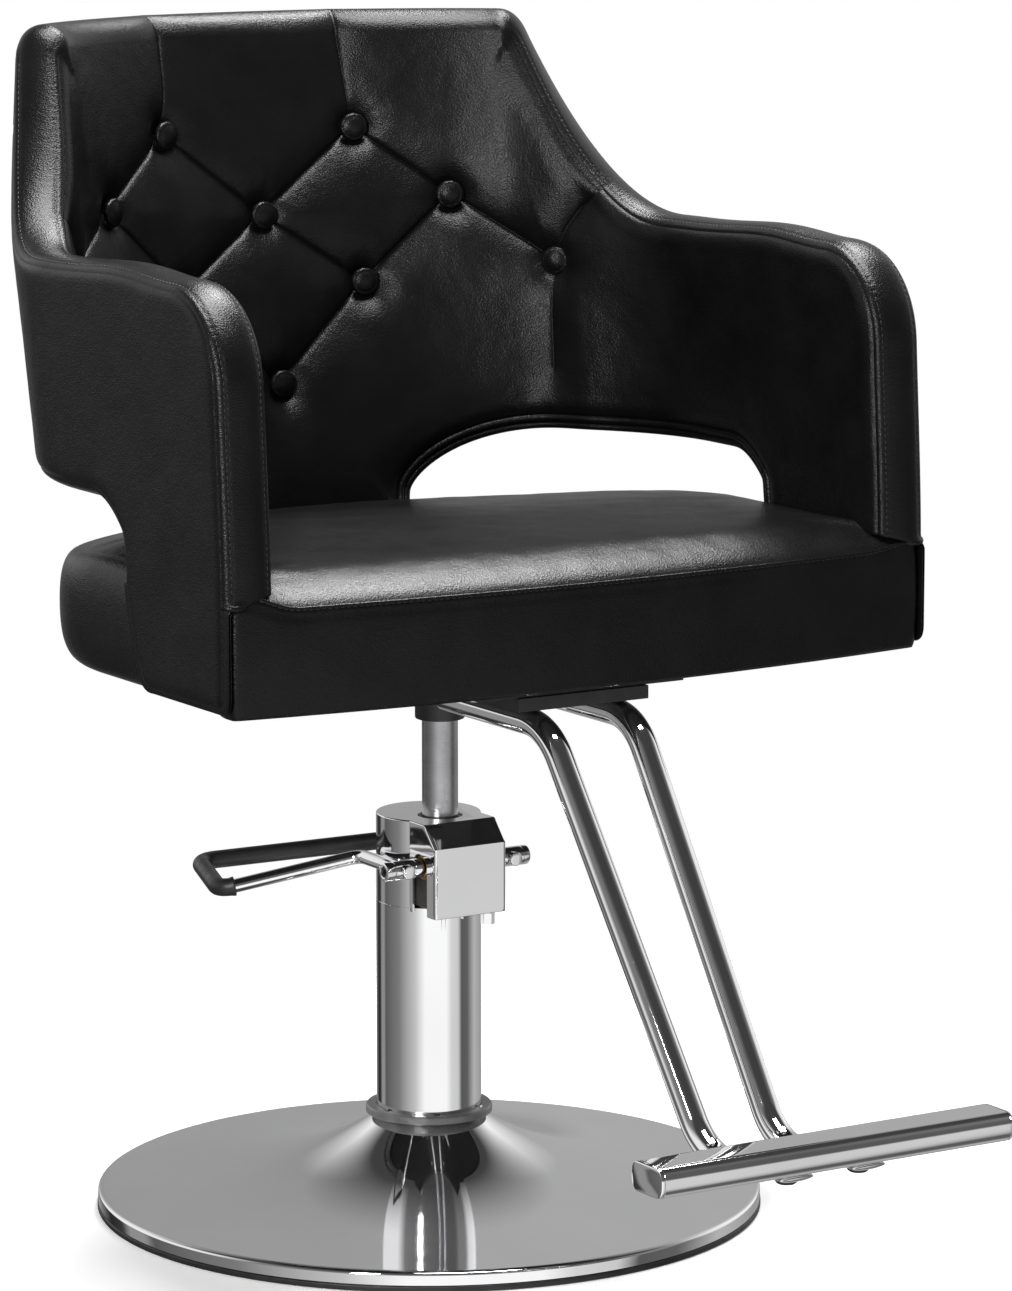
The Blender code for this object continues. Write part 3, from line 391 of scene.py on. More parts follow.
def turned(name, profile, slot, body, node, centre=(0.0, 0.0), around=144):
    """A profile of (radius, z) points turned about a vertical axis, and closed unless it starts there."""
    points = [(centre[0] + radius * math.cos(angle), centre[1] + radius * math.sin(angle), z)
              for radius, z in profile for angle in round_angles(around)]
    ends = "joined" if profile[0][0] > 0 else "open"
    shape = (points, ring_faces(len(profile), around, ends))
    return piece(name, shape, slot, body, (node,), sharp=30.0, welded=True)


def arc(centre, radius, start, end, count):
    """Points of an arc in a plane, from the start angle to the end angle in degrees."""
    return [(centre[0] + radius * math.cos(math.radians(a)), centre[1] + radius * math.sin(math.radians(a)))
            for a in np.linspace(start, end, count)]


def rounded_path(corners, radius, step_degrees=4.0):
    """Points along straight runs between corners, with an arc at every inner corner."""
    points = [Vector(corners[0])]
    for before, corner, after in zip(corners, corners[1:], corners[2:]):
        corner = Vector(corner)
        inward = (Vector(before) - corner).normalized()
        outward = (Vector(after) - corner).normalized()
        bend = math.pi - inward.angle(outward)
        reach = radius * math.tan(bend / 2)
        middle = (inward + outward).normalized()
        centre = corner + middle * (radius / math.cos(bend / 2))
        start = (corner + inward * reach - centre).normalized()
        end = (corner + outward * reach - centre).normalized()
        count = max(2, round(math.degrees(bend) / step_degrees))
        for k in range(count + 1):
            points.append(centre + start.slerp(end, k / count) * radius)
    points.append(Vector(corners[-1]))
    return points


def cord(path, radius, axis=None):
    """Round sections of one radius along a path, for sweep."""
    return [(Vector(p), radius, radius, axis) for p in path]


def sweep(sections, around=28):
    """A capped loft along centre points, each with its two half widths and an optional cross axis."""
    points = []
    count = len(sections)
    side = None
    for k, (centre, wide, high, axis) in enumerate(sections):
        along = (sections[min(k + 1, count - 1)][0] - sections[max(k - 1, 0)][0]).normalized()
        if axis is not None:
            side = (axis - along * axis.dot(along)).normalized()
        elif side is None:
            side = along.orthogonal().normalized()
        else:
            side = (side - along * side.dot(along)).normalized()
        up = along.cross(side)
        for n in range(around):
            angle = 2 * math.pi * n / around
            points.append(centre + side * (wide * math.cos(angle)) + up * (high * math.sin(angle)))
    return points, ring_faces(count, around, "capped")


def round_tip(sections, at_end, length, steps=5):
    """Adds the shrinking sections of a rounded end to a sweep."""
    order = sections if at_end else sections[::-1]
    centre, wide, high, axis = order[-1]
    along = (centre - order[-2][0]).normalized()
    tip = []
    for k in range(1, steps + 1):
        angle = math.pi / 2 * k / steps * 0.96
        shrink = math.cos(angle)
        tip.append((centre + along * (length * math.sin(angle)), wide - length * (1 - shrink),
                    high - length * (1 - shrink), axis))
    grown = order + tip
    return grown if at_end else grown[::-1]


def smoothstep(low, high, value):
    x = np.clip((value - low) / (high - low), 0.0, 1.0)
    return x * x * (3.0 - 2.0 * x)


# ---------------------------------------------------------------- the unrolled shell

def make_run_table():
    t = np.linspace(0.0, 1.0, 2001)
    x = SHELL_HALF_WIDTH * np.sin(t * math.pi / 2)
    y = SHELL_DEPTH * np.cos(t * math.pi / 2)
    run = np.concatenate(([0.0], np.cumsum(np.hypot(np.diff(x), np.diff(y)))))
    return t, run


TABLE_T, TABLE_RUN = make_run_table()
ELLIPSE_RUN = TABLE_RUN[-1]


def run_of(t):
    return float(np.interp(abs(t), TABLE_T, TABLE_RUN)) * (1.0 if t >= 0 else -1.0)


def shell_centre(z):
    return SHELL_CENTRE_Y + SHELL_RAKE * (z - ARM_TOP)


def shell(run, z, offset):
    """Points of the shell at runs and heights, moved inward from the outer skin by offset."""
    run, z, offset = np.broadcast_arrays(np.asarray(run, float), np.asarray(z, float),
                                         np.asarray(offset, float))
    side = np.where(run < 0, -1.0, 1.0)
    length = np.abs(run)
    angle = np.interp(length, TABLE_RUN, TABLE_T) * math.pi / 2
    nx = np.sin(angle) / SHELL_HALF_WIDTH
    ny = np.cos(angle) / SHELL_DEPTH
    size = np.hypot(nx, ny)
    x = SHELL_HALF_WIDTH * np.sin(angle) - offset * nx / size
    y = shell_centre(z) + SHELL_DEPTH * np.cos(angle) - offset * ny / size
    y = y - np.maximum(length - ELLIPSE_RUN, 0.0)
    return np.stack((side * x, y, z), axis=-1)


def leg_rear(z):
    """Y of the leg's rear edge: a round turn forward under the arch, then a slope to the foot."""
    down = (ARCH_TOP - z) / (ARCH_TOP - LEG_BOTTOM)
    return LEG_REAR - 0.0430 * min(1.0, 6.0 * down) ** 0.5 - 0.0330 * down ** 2


def lengths_along(points):
    """Distance along a line at each of its points."""
    return np.concatenate(([0.0], np.cumsum(np.linalg.norm(np.diff(points, axis=0), axis=1))))


def sideways(along):
    """Unit directions in the plane on the left hand of each step."""
    along = along / np.linalg.norm(along, axis=1)[:, None]
    return np.stack((-along[:, 1], along[:, 0]), axis=1)


def beside(line, shift):
    """An open line moved to its left by shift."""
    line = np.array(line)
    return line + sideways(np.gradient(line, axis=0)) * shift


def outward_of(line):
    """The unit directions in the plane that point out of a closed clockwise line."""
    return sideways(np.roll(line[:, :2], -1, axis=0) - np.roll(line[:, :2], 1, axis=0))


def resample(points, step, closed=True):
    """The same line, with its other columns, at even steps."""
    points = np.asarray(points, float)
    if closed:
        points = np.vstack((points, points[:1]))
    length = lengths_along(points[:, :2])
    count = max(2, int(round(length[-1] / step)))
    where = np.linspace(0.0, length[-1], count, endpoint=not closed)
    return np.stack([np.interp(where, length, column) for column in points.T], axis=1)


def soften(points, reach):
    """Rounds a closed line's corners, and blends its other columns, with a bell-shaped window."""
    offsets = np.arange(-3 * reach, 3 * reach + 1)
    weights = np.exp(-0.5 * (offsets / reach) ** 2)
    weights /= weights.sum()
    return sum(w * np.roll(points, -int(o), axis=0) for w, o in zip(weights, offsets))


def soften_open(points, rounds):
    """Smooths an open line between its ends, which stay."""
    points = points.copy()
    for _ in range(rounds):
        points[1:-1] = (points[:-2] + 2 * points[1:-1] + points[2:]) / 4
    return points


def arm_lean(z):
    """How far the arm's front edge lies behind its foot at a height."""
    return ARM_LEAN * float(smoothstep(PAD_BOTTOM - 0.02, ARM_TOP, z))


def band_edge():
    """The shell's edge down the wing, along the arm and down its front, as (run, z) points."""
    line = []
    for t in np.linspace(CORNER_T, WING_END_T, 90):
        fall = (t - CORNER_T) / (WING_END_T - CORNER_T)
        line.append((run_of(t), ARM_TOP + (BACK_TOP - ARM_TOP) * (1 - fall) ** 2.6))
    wing_end = line[-1][0]
    arm_end = ELLIPSE_RUN + SHELL_CENTRE_Y - (ARM_FRONT + ARM_LEAN + ARM_FRONT_RADIUS)
    for share in np.linspace(0.0, 1.0, 60):
        hump = ARM_HUMP * math.sin(math.pi * share ** 1.5) ** 2
        line.append((wing_end + 0.003 + (arm_end - wing_end - 0.005) * share, ARM_TOP + hump))
    for angle in np.linspace(0.0, math.pi / 2, 40):
        z = ARM_TOP - ARM_FRONT_RADIUS * (1 - math.cos(angle))
        y = ARM_FRONT + arm_lean(z) + ARM_FRONT_RADIUS * (1 - math.sin(angle))
        line.append((ELLIPSE_RUN + shell_centre(z) - y, z))
    line += [(ELLIPSE_RUN + shell_centre(z) - ARM_FRONT - arm_lean(z), z)
             for z in np.linspace(line[-1][1] - 0.003, LEG_BOTTOM, 90)]
    return line


def opening_edge():
    """The opening's edge up the leg, along the arch and down to the tongue, as (run, z) points."""
    line = [(ELLIPSE_RUN + shell_centre(z) - leg_rear(z), z)
            for z in ARCH_TOP - (ARCH_TOP - LEG_BOTTOM) * np.linspace(1.0, 0.0, 160) ** 2]
    flat_from = run_of(ARCH_FROM_T + ARCH_SPRING_T)
    line += [(run, ARCH_TOP) for run in np.linspace(line[-1][0] - 0.004, flat_from, 60)]
    for reach in np.linspace(1.0, 0.0, 120)[1:] ** 1.6:
        height = ARCH_SPRING + (ARCH_TOP - ARCH_SPRING) * (1 - (1 - reach) ** 2.4) ** 0.7
        line.append((run_of(ARCH_FROM_T + ARCH_SPRING_T * reach), height))
    line.append((run_of(ARCH_FROM_T), TONGUE_BOTTOM - 0.004))
    return line


def shell_outline():
    """The shell's edge line, where the panels meet its rim: columns run, z, crown, roll, pipe.

    roll is 1 where the rim is one round roll, as on the top of the back, and 0 where it is a band
    between two seams. pipe is 1 where the rim is a pair of piping cords.
    """
    top_z = BACK_TOP - BACK_THICKNESS / 2
    foot_z = LEG_BOTTOM + 0.006
    tongue_z = TONGUE_BOTTOM + 0.004
    band = beside(band_edge(), -BAND_CROWN)
    band = band[(band[:, 1] < top_z) & (band[:, 1] > foot_z)]
    opening = beside(opening_edge(), -ARCH_CROWN)
    opening = opening[opening[:, 1] > foot_z]
    opening = opening[(opening[:, 1] > tongue_z) | (opening[:, 0] > run_of(0.7))]

    half = [(run, top_z, BACK_THICKNESS / 2, 1.0, 0.0)
            for run in np.arange(0.0, band[0, 0] - 0.003, 0.004)]
    half += [(run, z, BAND_CROWN, 0.0, float(z < PAD_BOTTOM + 0.004)) for run, z in band]
    foot = np.linspace(band[-1, 0], opening[0, 0], 40)[1:-1]
    half += [(run, foot_z, 0.0055, 1.0, 0.0) for run in foot]
    half += [(run, z, ARCH_CROWN, 0.0, 1.0) for run, z in opening]
    half += [(run, tongue_z, 0.0040, 0.6, 0.0)
             for run in np.arange(opening[-1, 0] - 0.003, 0.0, -0.004)]
    half = np.array(half)
    mirrored = half[::-1] * np.array([-1.0, 1.0, 1.0, 1.0, 1.0])
    whole = np.vstack((half, mirrored[:-1]))
    return soften(resample(whole, 0.001), 4)


def nearest(line, points):
    """For each point, the distance to the nearest point of a line and that point's index."""
    tree = kdtree.KDTree(len(line))
    for k, p in enumerate(line):
        tree.insert((p[0], p[1], 0.0), k)
    tree.balance()
    found = [tree.find((p[0], p[1], 0.0)) for p in points]
    return np.array([f[2] for f in found]), np.array([f[1] for f in found])


def inside(outline, points):
    """Which points lie in a closed outline, by the crossings of a ray."""
    result = np.zeros(len(points), bool)
    x, y = points[:, 0], points[:, 1]
    for (x1, y1), (x2, y2) in zip(outline, np.roll(outline, -1, axis=0)):
        if y1 != y2:
            result ^= ((y1 > y) != (y2 > y)) & (x < (x2 - x1) * (y - y1) / (y2 - y1) + x1)
    return result


def patch(outline, spacing, rings, folds=(), fold_rows=()):
    """Triangles that fill an outline, closer together beside it and beside the folds.

    The points are the outline's own, then rings beside it, rows beside the folds and an even
    lattice. Returns them with the triangles, their gaps to the outline and its nearest indices.
    """
    edge = outline[:, :2]
    fine = resample(edge, 0.0008)
    outward = outward_of(outline)
    chosen = [edge]
    for distance, every in rings:
        ring = (edge - outward * distance)[::every]
        gap, _ = nearest(fine, ring)
        chosen.append(ring[(gap > 0.93 * distance) & inside(edge, ring)])
    taken = []
    for fold in folds:
        centre = resample(fold, 0.0018, closed=False)
        for shift in fold_rows:
            for sign in ((1,) if shift == 0 else (1, -1)):
                row = beside(centre, sign * shift)
                gap, _ = nearest(fine, row)
                chosen.append(row[(gap > 0.0010) & inside(edge, row)])
        taken.append(centre)
    low, high = edge.min(axis=0), edge.max(axis=0)
    rows = np.arange(low[1], high[1], spacing * 0.866)
    lattice = np.array([(x + (k % 2) * spacing / 2, y) for k, y in enumerate(rows)
                        for x in np.arange(low[0], high[0], spacing)])
    lattice = lattice[inside(edge, lattice)]
    gap, _ = nearest(fine, lattice)
    lattice = lattice[gap > rings[-1][0] + 0.55 * spacing]
    if taken:
        gap, _ = nearest(np.vstack(taken), lattice)
        lattice = lattice[gap > fold_rows[-1] + 0.4 * spacing]
    points = np.vstack(chosen + [lattice])
    count = len(edge)
    edges = [(k, (k + 1) % count) for k in range(count)]
    # the triangulation is made in millimetres, which keeps its tolerances sound
    in_mm = [Vector((x * 1000.0, y * 1000.0)) for x, y in points]
    found = geometry.delaunay_2d_cdt(in_mm, edges, [], 1, 0.0001)
    flat = np.array([(p.x / 1000.0, p.y / 1000.0) for p in found[0]])
    gap, index = nearest(outline, flat)
    return flat, [tuple(f) for f in found[2]], np.where(gap < 0.00002, 0.0, gap), index


def distance_to_chain(points, chain):
    """Distance from points to a chain of segments, and how far along it the nearest place is (0 to 1)."""
    best = np.full(len(points), 1e9)
    share = np.zeros(len(points))
    lengths = [math.dist(a, b) for a, b in zip(chain, chain[1:])]
    total = sum(lengths)
    gone = 0.0
    for (a, b), length in zip(zip(chain, chain[1:]), lengths):
        a, b = np.array(a), np.array(b)
        k = np.clip(((points - a) @ (b - a)) / length ** 2, 0.0, 1.0)
        gap = np.linalg.norm(points - (a + k[:, None] * (b - a)), axis=1)
        closer = gap < best
        best = np.where(closer, gap, best)
        share = np.where(closer, (gone + k * length) / total, share)
        gone += length
    return best, share


def curved(chain):
    """A chain of (t, z) points as a smooth line of (run, z) points."""
    points = np.array([(run_of(t), z) for t, z in chain])
    if len(points) == 2:
        return points
    where = np.linspace(0, len(points) - 1, 12 * (len(points) - 1) + 1)
    line = np.stack([np.interp(where, range(len(points)), points[:, k]) for k in (0, 1)], axis=1)
    for _ in range(6):
        line[1:-1] = (line[:-2] + 2 * line[1:-1] + line[2:]) / 4
    return line


def all_folds():
    """Every fold of the tufted panel as (line, depth at its ends, depth in the middle), in mm."""
    folds = [(curved(chain), 6.0, 4.4) for chain in FOLDS]
    folds += [(curved(TOP_PLEAT), 4.5, 2.6), (curved(WING_PLEAT), 4.0, 4.6), (curved(ARM_PLEAT), 2.2, 1.6)]
    return folds + [(line * np.array([-1.0, 1.0]), ends, middle) for line, ends, middle in folds]


def ripple(points, scale, seed):
    """Smooth noise between -1 and 1 at 3-D points."""
    shift = Vector((seed * 7.3, seed * 3.1, seed * 1.7))
    return np.array([noise.noise(Vector(p) * scale + shift) for p in points])


def pad_thickness(run, z):
    """Thickness of the upholstery from the outer skin to the plain inner face."""
    t = np.interp(np.abs(run), TABLE_RUN, TABLE_T)
    pad = BACK_THICKNESS + (ARM_THICKNESS - BACK_THICKNESS) * smoothstep(0.48, 0.64, t)
    leg = np.abs(run) > run_of(0.8)
    rise = smoothstep(PAD_BOTTOM - 0.004, PAD_BOTTOM + 0.008, z)
    return np.where(leg, LEG_THICKNESS + (pad - LEG_THICKNESS) * rise, pad)


def tuft_depth(points, folds):
    """How far the tufting pulls the cover in, and how far the pads puff out between it."""
    pulls = []
    reach = np.full(len(points), 1e9)
    for t, z in BUTTONS:
        spot = np.array((run_of(t), z))
        gap = np.linalg.norm(points - spot, axis=1)
        angle = np.arctan2(points[:, 1] - z, points[:, 0] - spot[0])
        pucker = 0.35 * np.cos(9 * angle + 5 * t) * np.exp(-np.abs(gap - 0.015) / 0.007)
        pulls.append(BUTTON_PULL * np.exp(-(gap / 0.0175) ** 1.5) + np.maximum(pucker, -pucker * 0.6))
        reach = np.minimum(reach, gap * 0.8)
    for line, ends, middle in folds:
        gap, share = distance_to_chain(points, line)
        depth = middle + (ends - middle) * (2 * share - 1) ** 2
        pulls.append(depth * (0.75 * np.exp(-gap / 0.0018) + 0.85 * np.exp(-(gap / 0.0135) ** 1.5)))
        reach = np.minimum(reach, gap)
    pull = sum(p ** 3 for p in pulls) ** (1 / 3)
    arm = smoothstep(run_of(0.62), run_of(0.95), np.abs(points[:, 0]))
    puff = (PAD_PUFF - (PAD_PUFF - ARM_PUFF) * arm) * (1 - np.exp(-(reach / 0.032) ** 1.4))
    return (puff - pull) * MM


def rim_rows():
    """Shares across the rim, from the inner seam to the outer one, close together at the seams."""
    near = np.array([0.0, 0.008, 0.018, 0.032, 0.05, 0.075, 0.105, 0.14])
    return np.concatenate((near, np.linspace(0.18, 0.82, 17), 1.0 - near[::-1]))


# ---------------------------------------------------------------- the shell's upholstery

def inner_offset(points, gap, roll, folds):
    """Distance from the outer skin to the tufted face, where gap is the distance to the edge line."""
    plain = pad_thickness(points[:, 0], points[:, 1])
    sewn = 1.0 - roll
    tuft = tuft_depth(points, folds)
    padded = smoothstep(0.018, 0.036, plain)
    swell = tuft * (1 - sewn * np.exp(-(gap / 0.018) ** 2) * 0.85)
    ridge = sewn * 0.0007 * np.exp(-((gap - 0.010) / 0.006) ** 2)
    seam = sewn * SEAM_DEPTH * np.exp(-gap / 0.0028)
    return plain + (swell + ridge - seam) * padded


def outer_offset(points, gap):
    """Depth of the outer skin's seams below its smooth surface."""
    edge = 0.0026 * np.exp(-gap / 0.0024)
    upright = np.abs(np.abs(points[:, 0]) - run_of(SIDE_SEAM_T))
    groove = 0.0016 * np.exp(-upright / 0.0012) + 0.0007 * np.exp(-(upright / 0.006) ** 2)
    return np.maximum(edge, groove) + 0.0001


def seam_offsets(part, folds):
    """Offsets of the rim's inner and outer seams along part of the edge line."""
    gap = np.zeros(len(part))
    return inner_offset(part[:, :2], gap, part[:, 3], folds), outer_offset(part[:, :2], gap)


def wrinkled(points, out, amount, seed, scales=(34.0, 90.0)):
    """Adds soft creasing to points along their out directions."""
    coarse = ripple(points, scales[0], seed)
    fine = ripple(points, scales[1], seed + 1)
    return points + out * ((coarse * 0.65 + fine * 0.35) * amount)[:, None]


def facing(run, z):
    """Unit directions from the shell's outer skin towards the sitter."""
    step = shell(run, z, np.full(len(run), 0.01)) - shell(run, z, np.zeros(len(run)))
    return step / np.linalg.norm(step, axis=1)[:, None]


def section(line, start, stop):
    """The points of a closed line from one index to another, going round past the end if needed."""
    count = len(line)
    if stop < start:
        stop += count
    return line[np.arange(start, stop + 1) % count]


def shell_sections(line):
    """Indices on the right half where the rim changes kind."""
    half = len(line) // 2
    corner = next(k for k in range(half) if line[k, 3] < 0.5)
    foot = next(k for k in range(corner, half) if line[k, 1] < PAD_BOTTOM + 0.002)
    rear = next(k for k in range(foot, half) if line[k, 1] > PAD_BOTTOM + 0.002 and line[k, 4] > 0.5
                and line[k, 0] < line[foot, 0] - 0.05)
    tongue = next(k for k in range(rear, half) if line[k, 1] < TONGUE_BOTTOM + 0.006
                  and line[k, 0] < run_of(0.4))
    return corner, foot, rear, tongue


def rim_points(part, rows, offsets, line):
    """Points of the rim along part of the edge line, at shares from its inner to its outer seam."""
    inner, outer = offsets
    outward = outward_of(line)[nearest(line, part)[1]]
    run, z, crown, roll, pipe = part[:, :5].T
    length = lengths_along(part[:, :2])
    thin = (inner < 0.020).astype(float)
    points = []
    for s in rows:
        wave = math.sin(math.pi * s)
        round_offset = (inner + outer) / 2 + (inner - outer) / 2 * math.cos(math.pi * s)
        flat_offset = inner + (outer - inner) * s
        offset = flat_offset + (round_offset - flat_offset) * roll
        rise = crown * wave ** 0.42
        from_seam = min(s, 1 - s) * ARM_THICKNESS
        row = math.exp(-((from_seam - STITCH_INSET) / 0.0011) ** 2)
        pull = row * (0.00080 + 0.00030 * np.cos(2 * math.pi * length / STITCH_PITCH))
        rise = rise - pull * (1 - pipe)
        cords = crown * 0.9 * abs(math.sin(2 * math.pi * s)) ** 0.6
        rise = rise + (cords - rise) * pipe * thin
        rise = rise + (crown * wave - rise) * roll
        points.append(shell(run + outward[:, 0] * rise, z + outward[:, 1] * rise, offset))
    return np.array(points)


def rim_mesh(part, folds, line):
    """Points and faces of the rim along part of the edge line."""
    rows = rim_rows()
    points = rim_points(part, rows, seam_offsets(part, folds), line)
    return points.reshape(-1, 3), grid_faces(len(rows), len(part))


def make_tufted_cover(line, folds, sections):
    """The tufted cover, with the roll over the top of the back and the tongue's roll."""
    rings = ((0.0012, 1), (0.0027, 2), (0.0046, 3), (0.0070, 3), (0.0100, 3))
    rows = (0.0, 0.0006, 0.0014, 0.0028, 0.0048)
    flat, triangles, gap, index = patch(line, 0.0030, rings, [fold[0] for fold in folds], rows)
    points = shell(flat[:, 0], flat[:, 1], inner_offset(flat, gap, line[index, 3], folds))
    calm = smoothstep(0.0, 0.006, gap)
    points = wrinkled(points, facing(flat[:, 0], flat[:, 1]) * calm[:, None], 0.00055, 3)
    corner, _, _, tongue = sections
    parts = [(points, triangles)]
    for start, stop in ((len(line) - corner, corner), (tongue, len(line) - tongue)):
        parts.append(rim_mesh(section(line, start, stop), folds, line))
    cover = leather_piece("tufted_inner_cover", joined(parts),
                          ("back_pad", "arm_pad_left", "arm_pad_right", "shell_frame"), welded=True)


def make_outer_skin(line, seams):
    rings = ((0.0012, 1), (0.0027, 2), (0.0050, 4), (0.0085, 6))
    rows = (0.0, 0.0006, 0.0014, 0.0030, 0.0060)
    flat, triangles, gap, _ = patch(line, 0.0062, rings, seams, rows)
    points = shell(flat[:, 0], flat[:, 1], outer_offset(flat, gap))
    calm = smoothstep(0.0, 0.010, gap)
    out = -facing(flat[:, 0], flat[:, 1]) * calm[:, None]
    points = wrinkled(points, out, 0.0007, 9, (16.0, 60.0))
    leather_piece("outer_cover", (points, [f[::-1] for f in triangles]), ("shell_outer_cover",))


def make_shell_covers():
    line = resample(shell_outline(), 0.0013)
    folds = all_folds()
    seams = [np.array([(side * run_of(SIDE_SEAM_T), z) for z in np.linspace(*SIDE_SEAM_Z, 56)])
             for side in (-1, 1)]
    sections = shell_sections(line)
    make_tufted_cover(line, folds, sections)
    make_outer_skin(line, seams)
    corner, foot, rear, tongue = sections
    spans = {"boxing_band": (corner, foot), "leg_edge": (foot, rear), "opening_edge": (rear, tongue)}
    for side, hand in ((1, "right"), (-1, "left")):
        for name, (start, stop) in spans.items():
            if side < 0:
                start, stop = len(line) - stop, len(line) - start
            part = section(line, start, stop)
            shape = rim_mesh(part, folds, line)
            replaced = ("shell_edge_band",) if (name, side) == ("boxing_band", 1) else ()
            leather_piece(f"{name}_{hand}", shape, replaced)
            if name == "boxing_band":
                sew_band(f"band_stitches_{hand}", part, folds, line)
                foot_roll(f"arm_foot_roll_{hand}", shape[0], len(part), side)
            elif name == "opening_edge":
                pipe_opening(f"opening_piping_{hand}", part, folds, line)
    sew_back(line, seams, corner)


def foot_roll(name, rim, columns, side):
    """The small roll at the foot of an arm: across the band's end, then back along the pad's foot."""
    across = rim.reshape(-1, columns, 3)[2:-1, -1 if side > 0 else 0] + np.array([0.0, 0.0016, 0.0])
    start = across[0]
    back = [(start[0] - side * 0.0006, y, start[2]) for y in np.linspace(start[1] + 0.004, -0.085, 60)]
    path = soften_open(resample(np.vstack((np.array(back)[::-1], across)), 0.0015, closed=False), 4)
    leather_piece(name, sweep(cord(path, FOOT_ROLL_RADIUS), around=14))


def joined(parts):
    """Several meshes, each points and faces, as one."""
    points, faces, base = [], [], 0
    for some, shapes in parts:
        points.append(np.asarray(some))
        faces += [tuple(k + base for k in shape) for shape in shapes]
        base += len(some)
    return np.vstack(points), faces


def stitches(name, rows):
    """Rows of short thread stitches. Each row is (points, directions that face out of the leather)."""
    shares = np.array([0.0, 0.10, 0.35, 0.60, 0.70])
    lift = np.array([-0.0006, 0.00005, 0.00025, 0.00005, -0.0006])
    parts = []
    for points, out in rows:
        length = lengths_along(points)
        for start in np.arange(STITCH_PITCH * 0.5, length[-1] - STITCH_PITCH, STITCH_PITCH):
            places = start + STITCH_PITCH * shares
            spots, outs = (np.stack([np.interp(places, length, column) for column in field.T], axis=1)
                           for field in (points, out))
            spots = spots + outs * lift[:, None]
            sections = [(Vector(p), THREAD_RADIUS, THREAD_RADIUS, Vector(o)) for p, o in zip(spots, outs)]
            parts.append(sweep(sections, around=6))
    piece(name, joined(parts), "leatherette", "seat", finish="black_thread")


def sew_band(name, part, folds, line):
    """The two rows of stitches on a boxing band, just inside its seams."""
    inner, outer = seam_offsets(part, folds)
    share = STITCH_INSET / ARM_THICKNESS
    rows = []
    for s in (share, 1 - share):
        low, here, high = rim_points(part, (s - 0.02, s, s + 0.02), (inner, outer), line)
        out = np.cross(np.gradient(here, axis=0), high - low)
        out /= np.linalg.norm(out, axis=1)[:, None]
        middle = shell(part[:, 0], part[:, 1], (inner + outer) / 2)
        out *= np.sign(np.sum(out * (here - middle), axis=1))[:, None]
        rows.append((here[6:-6], out[6:-6]))
    stitches(name, rows)


def sew_back(line, seams, corner):
    """Stitches beside the outer skin's top seam and its two upright seams."""
    top = section(line, len(line) - corner, corner)
    lower = top[:, :2] - outward_of(line)[nearest(line, top)[1]] * STITCH_INSET
    paths = [(lower[:, 0], lower[:, 1], 0.0001)]
    for seam in seams:
        paths += [(seam[:, 0] + shift, seam[:, 1], 0.0003) for shift in (-0.005, 0.005)]
    stitches("outer_cover_stitches", [(shell(run, z, deep), -facing(run, z)) for run, z, deep in paths])


def pipe_opening(name, part, folds, line):
    """Two piping cords side by side along the rear opening's inner seam."""
    inner, _ = seam_offsets(part, folds)
    outward = outward_of(line)[nearest(line, part)[1]]
    cords = []
    for from_inner, rise in ((0.0008, 0.0030), (0.0030, 0.0092)):
        run, z = (part[:, :2] + outward * rise).T
        path = shell(run, z, inner - from_inner)[::3]
        cords.append(sweep(cord(path, PIPING_RADIUS), around=12))
    leather_piece(name, joined(cords))


def make_tuft_buttons():
    """Leather-covered buttons: a dome with a pressed ring near its rim and tucked edges."""
    profile = [(0.0, 0.0060), (0.0020, 0.00592), (0.0040, 0.00565), (0.0060, 0.00515), (0.0075, 0.00455),
               (0.0086, 0.00400), (0.0092, 0.00372), (0.0097, 0.00362), (0.0103, 0.00355),
               (0.0110, 0.00315), (0.0116, 0.00240), (0.0120, 0.00130), (0.01195, 0.0), (0.0112, -0.0015),
               (0.0095, -0.0028), (0.0, -0.0035)]
    around = 64
    for number, (t, z) in enumerate(BUTTONS, start=1):
        run = run_of(t)
        seat, front = shell(np.full(2, run), np.full(2, z), BUTTON_DEPTH + np.array([0.0, 0.01]))
        axis = Vector(front - seat).normalized()
        rise = Vector(shell(run, z + 0.01, BUTTON_DEPTH)) - Vector(seat)
        across = rise.cross(axis).normalized()
        up = axis.cross(across)
        points = []
        for radius, height in profile:
            for angle in round_angles(around):
                fold = 0.00018 * math.cos(11 * angle + number) * smoothstep(0.0085, 0.0118, radius)
                arm = across * math.cos(angle) + up * math.sin(angle)
                points.append(Vector(seat) + arm * float(radius + fold) + axis * (height - float(fold)))
        name = f"tuft_button_{number:02d}"
        shape = (points, ring_faces(len(profile), around, "open"))
        leather_piece(f"covered_{name}", shape, (name,), welded=True)


# ---------------------------------------------------------------- the seat cushion

def seat_edge():
    """The cushion's plan edge, clockwise seen from above, as (x, y) points."""
    corner = 0.004
    half = [(x, SEAT_FRONT - SEAT_BOW * (1 - (x / SEAT_HALF_WIDTH) ** 2))
            for x in np.linspace(0.0, SEAT_HALF_WIDTH - corner, 90)]
    side_from = half[-1][1] + corner
    half += [(SEAT_HALF_WIDTH, y) for y in np.linspace(side_from, SEAT_REAR_CENTRE_Y, 70)]
    half += [(SEAT_HALF_WIDTH * math.cos(angle), SEAT_REAR_CENTRE_Y + SEAT_REAR_DEPTH * math.sin(angle))
             for angle in np.linspace(0.0, math.pi / 2, 160)[1:]]
    half = np.array(half)
    mirrored = half[::-1][1:-1] * np.array([-1.0, 1.0])
    whole = np.vstack((half, mirrored))[::-1]
    return soften(resample(whole, 0.001), 2)


